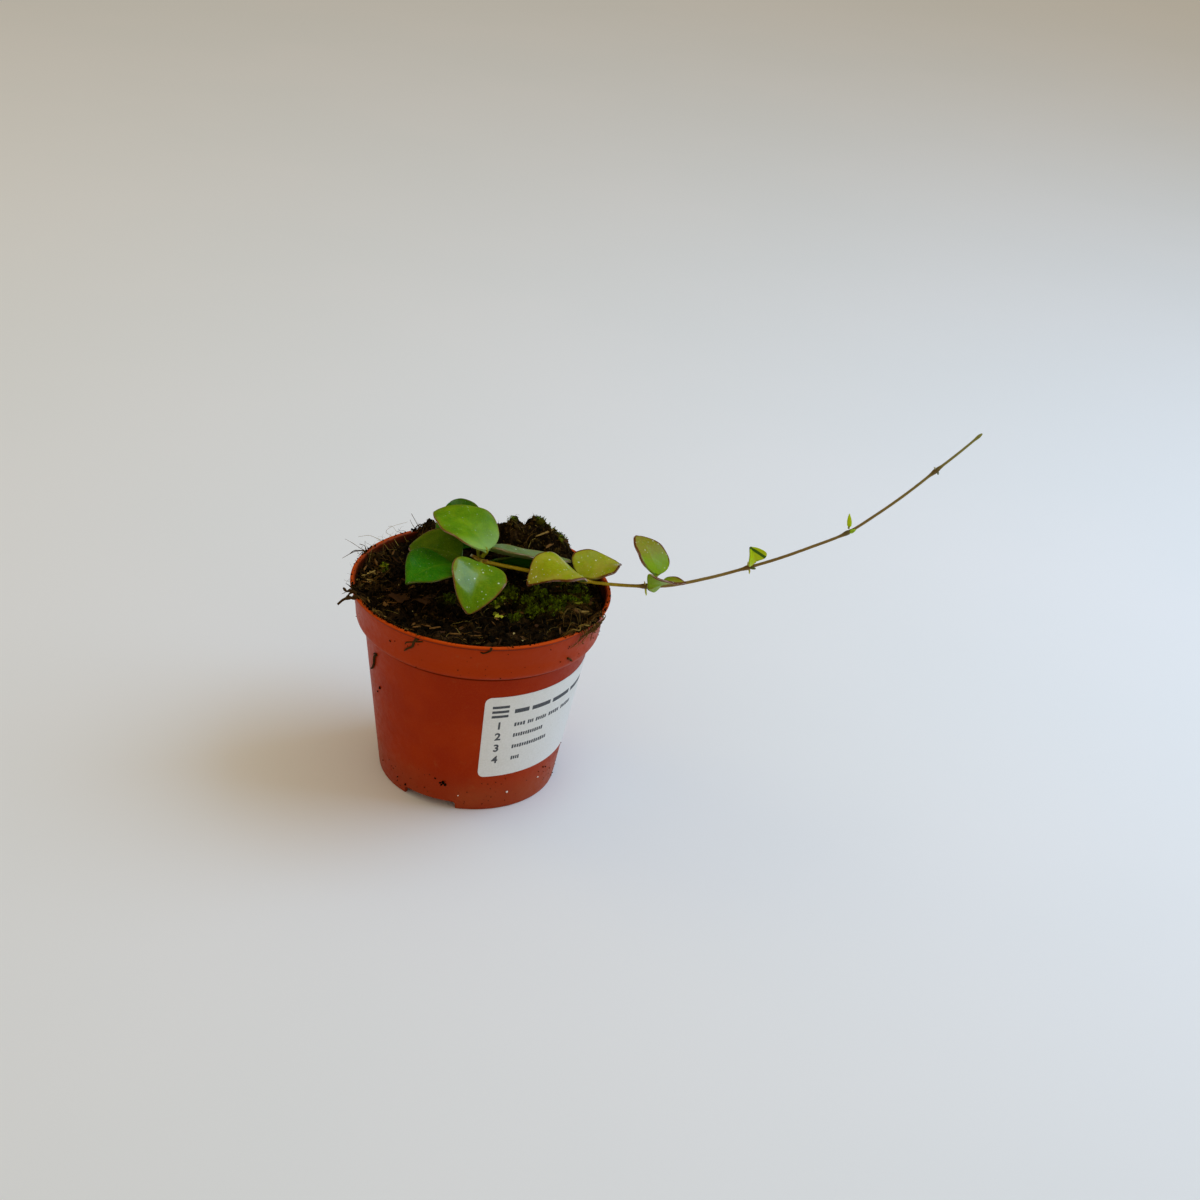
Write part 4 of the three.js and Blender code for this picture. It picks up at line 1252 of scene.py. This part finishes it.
# Leaves
LEAVES = {
    "leaf_crown_upper": dict(
        start=(-0.5, -4.7, 85.1), base=(1, -5, 87.6), tip=(-18, 10.3, 93), width=22, roll=-4.5,
        arch=0.16, fold=0.2, twist=-32, kind="lit"),
    "leaf_crown_back": dict(
        start=(-1.5, -2.5, 83.7), base=(-2.9, 7, 83.5), tip=(-12.9, 24, 90.7), width=18.2,
        roll=-46, arch=0.16, fold=0.48, kind="deep"),
    "leaf_left_back": dict(
        start=(-2.2, -2.8, 81.6), base=(-7.6, 1, 81.4), tip=(-25.6, 5, 81.3), width=19.7,
        roll=-26, arch=0.07, fold=0.22, twist=-5, full=0.67, kind="olive_dark"),
    "leaf_left_front": dict(
        start=(-1.9, -4.5, 80.2), base=(-9.7, -5.8, 81.3), tip=(-25, -19.8, 80.2), width=22,
        roll=-4, arch=0.12, fold=0.23, twist=-9, peak=0.67, full=0.73, point=0.2, kind="deep"),
    "leaf_front": dict(
        start=(-0.9, -6.2, 83.6), base=(-0.6, -10.6, 85.4), tip=(-3.5, -28.6, 75.6), width=19.2,
        roll=-15, arch=0.12, fold=0.22, twist=8, peak=0.55, full=0.6, kind="lit_front"),
    "leaf_right_low": dict(
        start=(0, -2.6, 80.3), base=(1.5, 4, 78.3), tip=(22.6, 9.4, 76.2), width=15.0, roll=-46,
        arch=0.03, fold=0.06, twist=-20, kind="deep"),
    # its pale kind is a painted reflection, grey-green for the sheen on its grazing top
    "leaf_right_high": dict(
        start=(-0.2, -2.8, 84.2), base=(1.2, 0, 86.2), tip=(30.2, 4.3, 81.6), width=16.3,
        roll=-15, arch=-0.03, fold=0.23, twist=14, full=0.7, kind="pale"),
    "leaf_two_front": dict(
        start=(34.4, -4.5, 79.3), base=(34, -6.5, 80.3), tip=(15.4, -15, 80.8), width=20, roll=-4,
        arch=0.31, fold=0.07, twist=-30, peak=0.76, full=0.45, point=0.24, skew=0.42, kind="olive"),
    "leaf_two_back": dict(
        start=(34.1, -1.3, 79), base=(33.4, 0.8, 77.7), tip=(48.2, 11, 78.4), width=19.4, roll=1.5,
        arch=0.12, fold=0.3, peak=0.58, full=0.85, point=0.3, kind="olive"),
    "leaf_three_upright": dict(
        start=(57.1, -2.5, 79.6), base=(59.6, -2, 82.4), tip=(51.5, 8.9, 91), width=14.2, roll=8,
        arch=0.12, fold=0.24, twist=-23, peak=0.58, full=0.64, kind="olive_young"),
    "leaf_three_forward": dict(
        start=(57, -5.2, 79.2), base=(57.1, -9, 80.9), tip=(69.1, -10.4, 84.4), width=13.3,
        roll=-18, arch=0.09, fold=0.26, twist=83, peak=0.34, full=0.82, kind="olive_young"),
    "young_leaf_four": dict(
        start=(92.6, 5, 86.2), base=(93.8, 5, 87.3), tip=(90.9, 4, 93), width=7.6, roll=-80,
        arch=0.06, fold=0.7, twist=22, kind="young", stalk=0.4, thickness=0.7),
    "young_leaf_five": dict(
        start=(124.7, 10, 100.4), base=(124.8, 10, 101.2), tip=(124.2, 10.3, 105.9), width=1.7,
        roll=90, arch=0, fold=0.2, kind="bud", stalk=0.34, thickness=0.6),
}


# How each kind of leaf looks: its material slot, then its screen colours and shares. "foot"
# tints the blade between two distances from the stalk, which on the lit kind is a painted
# highlight, and "shadow" paints the shade of a fold as a dark band.
LEAF_LOOKS = {
    # the lit kind's foot is a painted highlight, a pale patch near the stalk
    "lit": ("leaf_lit", dict(
        main=(84, 128, 2), second=(110, 148, 3), shade=(38, 82, 1), gloss=0.06, bare=0.78,
        margin_colour=(122, 78, 24), rim_highlight_share=0.5, foot=(0.5, 7.0, 0.5, (158, 190, 104)))),
    "lit_front": ("leaf_lit", dict(
        main=(86, 124, 1), second=(112, 138, 3), shade=(46, 90, 1), gloss=0.56, bare=0.24,
        margin_colour=(122, 78, 24), rim_highlight_share=0.5)),
    "deep": ("leaf_deep", dict(
        main=(30, 108, 1), second=(48, 118, 1), shade=(10, 60, 1), gloss=0.16, bare=0.86,
        flush=0.12, beneath=(36, 92, 4), margin_share=0.3, rim_highlight_share=0.25)),
    # painted reflection: the pale kind paints the whole blade grey-green for the sheen on
    # leaf_right_high's grazing top
    "pale": ("leaf_deep", dict(
        main=(88, 110, 54), second=(112, 130, 84), shade=(58, 88, 26), gloss=0.3,
        margin_share=0.4)),
    "olive_dark": ("leaf_olive", dict(
        main=(60, 98, 2), second=(80, 108, 4), shade=(32, 64, 1), gloss=0.16, bare=0.9,
        flush=0.3)),
    "olive": ("leaf_olive", dict(
        main=(142, 148, 6), second=(160, 154, 44), shade=(116, 130, 4), gloss=0.35, bare=0.2,
        flush=0.6, margin_width=0.6)),
    "olive_young": ("leaf_olive", dict(
        main=(128, 128, 24), second=(136, 124, 52), shade=(98, 136, 2), gloss=0.12,
        beneath=(128, 160, 12), margin_width=0.6, foot=(3.0, 9.0, 0.85, (122, 156, 1)))),
    "young": ("leaf_young", dict(
        main=(166, 192, 3), second=(182, 200, 12), shade=(124, 160, 4), gloss=0.1, flush=0.1,
        beneath=(166, 192, 20), margin_share=0.1, rim_highlight_share=0.1,
        shadow=(1.66, 6.1, (34, 84, 6)))),
    "bud": ("leaf_young", dict(
        main=(186, 214, 8), second=(200, 222, 30), shade=(150, 190, 8), gloss=0.1, flush=0.1,
        beneath=(186, 214, 20), margin_share=0.1, rim_highlight_share=0.1)),
}
PATTERN_STEP = 13.7         # keeps the leaves' patterns apart


def leaf_material(kind, main, second, shade, gloss, beneath=(142, 160, 84), bare=0.4, flush=0.45,
                  margin_width=0.24, margin_share=0.95, margin_colour=(100, 50, 18),
                  rim_highlight_share=0.8, foot=None, shadow=None):
    """Waxy leaf: blotches, a paler rib, a red-brown margin with a painted highlight along its
    rim, silver flecks.
    """
    paint = Paint("hoya_" + kind, main, 0.5, coat=gloss, coat_roughness=0.14, specular=0.1)
    flat = paint.read("flat", "Vector")
    edge, rib, under = (paint.read(name) for name in ("edge", "rib", "under"))
    across, along = (paint.part(axis, flat) for axis in "XY")
    paint.over(paint.spread(paint.noise(0.14, 3, flat), 0.38, 0.66), second)
    elsewhere = paint.add("ShaderNodeVectorMath", {0: flat, 1: (31, 7, 3)},
                          operation="ADD").outputs[0]
    paint.over(paint.spread(paint.noise(0.09, 2, elsewhere), 0.5, 0.76, 0, 0.45), shade)
    sunny = min(255, main[0] + 50), min(255, main[1] + 45), main[2] + 8
    paint.over(paint.spread(paint.noise(1.5, 4, flat), 0.4, 0.75, 0, 0.22), sunny)
    paint.over(paint.spread(paint.noise(3.4, 2, flat), 0.5, 0.66, 0, 0.16), (172, 192, 26))
    paint.over(paint.spread(rib, 0.15, 0.7, 0.12, 0), (146, 168, 30))
    paint.over(paint.times(under, 0.75), beneath)
    ruddy = paint.times(paint.spread(edge, 0.0, 2.4, flush, 0), paint.noise(0.3, 2, flat))
    paint.over(ruddy, (140, 96, 30))
    # the foot tints the blade near the stalk; on the lit kind it is a painted highlight
    if foot:
        low, high, share, colour = foot
        paint.over(paint.spread(along, low, high, share, 0), colour)
    if shadow:
        slope, place, colour = shadow
        off = paint.away(paint.sum(along, paint.times(across, slope)), place)
        paint.over(paint.spread(off, 0.75, 1.1, 0.92, 0), colour)
    ragged = paint.sum(edge, paint.spread(paint.noise(0.8, 2, flat), 0.3, 0.7, -0.12, 0.12))
    margin = paint.times(paint.spread(ragged, margin_width, margin_width + 0.3, 1, 0),
                         paint.spread(along, 1.0, 3.5))
    paint.over(paint.times(margin, margin_share), margin_colour)
    # painted highlight: a pinkish-white line in places along the blade's rim
    lip = paint.times(paint.spread(edge, 0.0, 0.13, 1, 0),
                      paint.spread(paint.noise(0.22, 2, flat), 0.42, 0.6))
    paint.over(paint.times(lip, rim_highlight_share), (196, 172, 158))
    fleck = paint.times(paint.spread(paint.spots(0.34, flat), 0.07, 0.125, 1, 0),
                        paint.spread(paint.spots(0.34, flat, "Color"), bare, bare + 0.06))
    fine = paint.times(paint.spread(paint.spots(0.8, flat), 0.13, 0.19, 0.85, 0),
                       paint.spread(paint.noise(0.2, 2, flat), 0.46, 0.56, 0, 1.1 - bare))
    flecks = paint.times(paint.sum(fleck, fine, "MAXIMUM"), paint.spread(under, 0.2, 0.6, 0.8, 0))
    paint.over(flecks, (220, 230, 200))
    paint.over(paint.read("stalk"), (132, 132, 14))
    veins = paint.add("ShaderNodeTexWave", {
        "Vector": flat, "Scale": 0.16, "Distortion": 2.5, "Detail": 1.0,
    }, bands_direction="DIAGONAL").outputs["Fac"]
    paint.bump(paint.noise(0.5, 3, flat), 0.14)
    paint.bump(veins, 0.06)
    paint.bump(paint.noise(3.0, 2, flat), 0.012)
    paint.surface.inputs["Specular Tint"].default_value = (0.9, 1.0, 0.45, 1.0)
    paint.surface.inputs["Subsurface Weight"].default_value = 0.12
    paint.surface.inputs["Subsurface Scale"].default_value = 0.0012
    return paint.finish(paint.spread(paint.noise(0.25, 3, flat), 0.3, 0.7, 0.44, 0.58))


def blade(leaf, seed, columns=37, rows=61):
    """The leaf's blade: a closed sheet, thick in the middle and rounded at its margin.

    t runs from its base to its tip, and q from -1 to 1 across it. Beside its points and
    values it gives the seat of the stalk and the way that the blade faces there.
    """
    base, tip = np.array(leaf["base"], float), np.array(leaf["tip"], float)
    chord = tip - base
    length = np.linalg.norm(chord)
    along = chord / length
    up = unit(np.array([0, 0, 1.0]) - along * along[2])
    side = np.cross(along, up)
    roll, twist = math.radians(leaf["roll"]), math.radians(leaf.get("twist", 0))
    t = (0.5 - 0.5 * np.cos(np.pi * np.linspace(0, 1, rows)))[:, None]
    q = np.sin(np.linspace(-1, 1, columns) * np.pi / 2)[None, :]
    power = leaf.get("full", 0.75) + leaf.get("point", 0.0) * smooth(0.72, 1.0, t)
    swelling = np.sin(np.pi * t ** leaf.get("peak", 0.6)).clip(0) ** power
    least = 0.5 * smooth(0.3, 0.0, t) + 0.1
    half = np.sqrt((leaf["width"] / 2 * swelling) ** 2 + least ** 2)

    def turned_frame(angle):
        c, s = np.cos(angle)[..., None], np.sin(angle)[..., None]
        return up * c + side * s, side * c - up * s

    normal, across = turned_frame(roll + twist * (t - 0.5))
    spine = turned_frame(np.full(1, roll))[0][0]
    crease = 1.26 * (np.sqrt(q * q + 0.12) - math.sqrt(0.12))
    size = leaf["width"] / 20
    wave = 0.32 * size * np.abs(q) ** 3 * np.sin(2 * np.pi * (2.2 * t + 0.17 * seed) + 2.2 * q)
    wave += 0.12 * size * np.sin(7 * t + seed) * q * q
    curl = -0.28 * size * smooth(0.8, 1.0, np.abs(q)) * swelling
    groove = -0.06 * np.exp(-(q * half / 0.55) ** 2) * smooth(1.0, 0.7, t) * smooth(0, 0.12, t)
    half = half * (1 + leaf.get("skew", 0.0) * np.minimum(q, 0) * smooth(0.5, 0.86, t))
    lift = half * leaf["fold"] * crease + (wave + curl) * smooth(0, 0.2, t) + groove
    arch = leaf["arch"] * length * 4 * t * (1 - t)
    middle = (base + chord * t[..., None] + spine * arch[..., None]
              + across * (q * half)[..., None] + normal * lift[..., None])
    d_row = np.gradient(middle, axis=0)
    d_column = np.gradient(middle, axis=1)
    outward = np.cross(d_column, d_row)
    outward /= np.linalg.norm(outward, axis=2)[..., None]
    if (outward[rows // 2, columns // 2] @ normal[rows // 2, 0]) < 0:
        outward = -outward
    thickness = leaf.get("thickness", 1.0) * (0.72 + 0.28 * (1 - np.abs(q) ** 3))
    from_edge = np.clip((np.abs(q) * half - half + 0.45) / 0.45, 0, 1)
    rounding = np.sqrt(np.clip(1 - from_edge ** 2, 0.02, 1))
    to_tip = np.sqrt(np.clip(1 - smooth(0.985, 1.0, t) ** 2, 0.05, 1))
    thickness = thickness * rounding * to_tip
    ridge = 0.4 * np.exp(-(q * half / 0.7) ** 2) * smooth(0.95, 0.1, t) * size
    top = middle + outward * (thickness / 2)[..., None]
    bottom = middle - outward * (thickness / 2 + ridge * rounding)[..., None]
    points, faces = sheet(top, bottom)
    flat = np.stack(np.broadcast_arrays(q * half, t * length, PATTERN_STEP * seed),
                    axis=-1).reshape(-1, 3)
    edge = np.minimum((1 - np.abs(q)) * half, (1 - t) * length + 0.05 + 0 * q).ravel()
    edge = edge + np.repeat(4 * smooth(0.06, 0.0, t), columns)
    rib = np.abs(q * half).ravel() + np.repeat(smooth(0.6, 1.0, t), columns)
    values = dict(flat=np.vstack([flat, flat + (0, 0, 5.0)]), edge=np.tile(edge, 2),
                  rib=np.tile(rib, 2), under=np.repeat([0.0, 1.0], rows * columns), stalk=0.0)
    seat = int(rows * 0.26), columns // 2
    return points, faces, values, middle[seat], outward[seat]


def leaf_stalk(shells, leaf, into, facing, seed):
    """The stalk, from its seat on the stem into the underside of the blade."""
    radius = leaf.get("stalk", 0.6)
    start, base = np.array(leaf["start"], float), np.array(leaf["base"], float)
    path = curve([start, base, into], 22)
    t = np.linspace(0, 1, 22)
    path -= 0.45 * smooth(0.4, 0.9, t)[:, None] * facing
    radii = radius * np.interp(t, [0, 0.1, 0.3, 0.6, 1], [1.15, 1.05, 0.95, 0.85, 0.4])
    points, faces = tube(path, radii, 12)
    flat = np.column_stack([points[:, 0], points[:, 2], np.full(len(points), PATTERN_STEP * seed)])
    shells.add(points, faces, flat=flat, edge=3.0, rib=2.0, under=0.3,
               stalk=np.append(np.repeat(smooth(1.0, 0.7, t), 12), (1, 0)))


def make_leaves():
    materials = {kind: leaf_material(kind, **look) for kind, (_, look) in LEAF_LOOKS.items()}
    for seed, (name, leaf) in enumerate(LEAVES.items()):
        shells = Shells()
        points, faces, values, into, facing = blade(leaf, seed)
        shells.add(points, faces, **values)
        leaf_stalk(shells, leaf, into, facing, seed)
        kind = leaf["kind"]
        shells.build(name + "_blade", materials[kind], name, sharp=180)


# Stage, light and camera
def make_floor():
    paint = Paint("studio_floor", (235, 236, 237), 0.62, specular=0.3)
    paint.over(paint.spread(paint.noise(0.004, 3), 0.35, 0.65), (237, 237, 238))
    mesh = bpy.data.meshes.new("floor")
    mesh.from_pydata([(-4, -3, 0), (4, -3, 0), (4, 6, 0), (-4, 6, 0)], [], [(0, 1, 2, 3)])
    mesh.materials.append(paint.finish())
    floor = bpy.data.objects.new("floor", mesh)
    bpy.context.scene.collection.objects.link(floor)


def stand(name, made, right, up, back, place):
    """Puts a lamp or a camera at a place, looking away from its back."""
    holder = bpy.data.objects.new(name, made)
    turn = np.eye(4)
    turn[:3] = np.column_stack([right, up, back, place])
    holder.matrix_world = Matrix(turn.tolist())
    bpy.context.scene.collection.objects.link(holder)
    return holder


def area_light(name, place, aim, size, power, colour):
    made = bpy.data.lights.new(name, "AREA")
    made.shape = "RECTANGLE"
    made.size = made.size_y = size
    made.energy = power
    made.color = colour
    back = unit(np.array(place, float) - np.array(aim, float))
    right = unit(np.cross((0, 0, 1), back))
    stand(name, made, right, np.cross(back, right), back, place)


def make_lights():
    area_light("window", (0.85, 0.15, 0.85), (0.05, 0, 0.04), 0.9, 8.0, (0.4, 0.665, 1.0))
    area_light("sky", (0.35, 0.1, 0.5), (0.25, 0.05, 0), 0.5, 0.6, (0.7, 0.8, 1.0))
    area_light("lamp_left", (-0.9, 0.4, 0.7), (0, 0, 0.04), 0.5, 0.9, (1.0, 0.8, 0.35))
    world = bpy.data.worlds.new("studio")
    bpy.context.scene.world = world
    world.use_nodes = True
    background = world.node_tree.nodes["Background"].inputs
    background["Color"].default_value = (1.0, 0.868, 0.657, 1)
    background["Strength"].default_value = 0.551
    world.cycles_visibility.glossy = False
    bpy.context.scene.view_settings.view_transform = "Standard"


def make_camera():
    """The photograph's view."""
    made = bpy.data.cameras.new("camera")
    made.sensor_width = 36.0
    made.lens = 60.0
    made.clip_start = 0.02
    made.clip_end = 20.0
    bpy.context.scene.camera = stand(
        "camera", made, (0.99480707, -0.01394389, 0.10081891),
        (-0.08235506, 0.47176855, 0.87786792), (-0.05980408, -0.88161216, 0.46817034),
        (0.0, -0.6096, 0.39351))


make_camera()
make_lights()
make_floor()
make_pot()
make_label()
make_peat()
make_crumbs()
make_fibres()
make_chips()
make_moss()
make_rim_fibres()
make_pot_debris()
make_stem()
make_leaves()
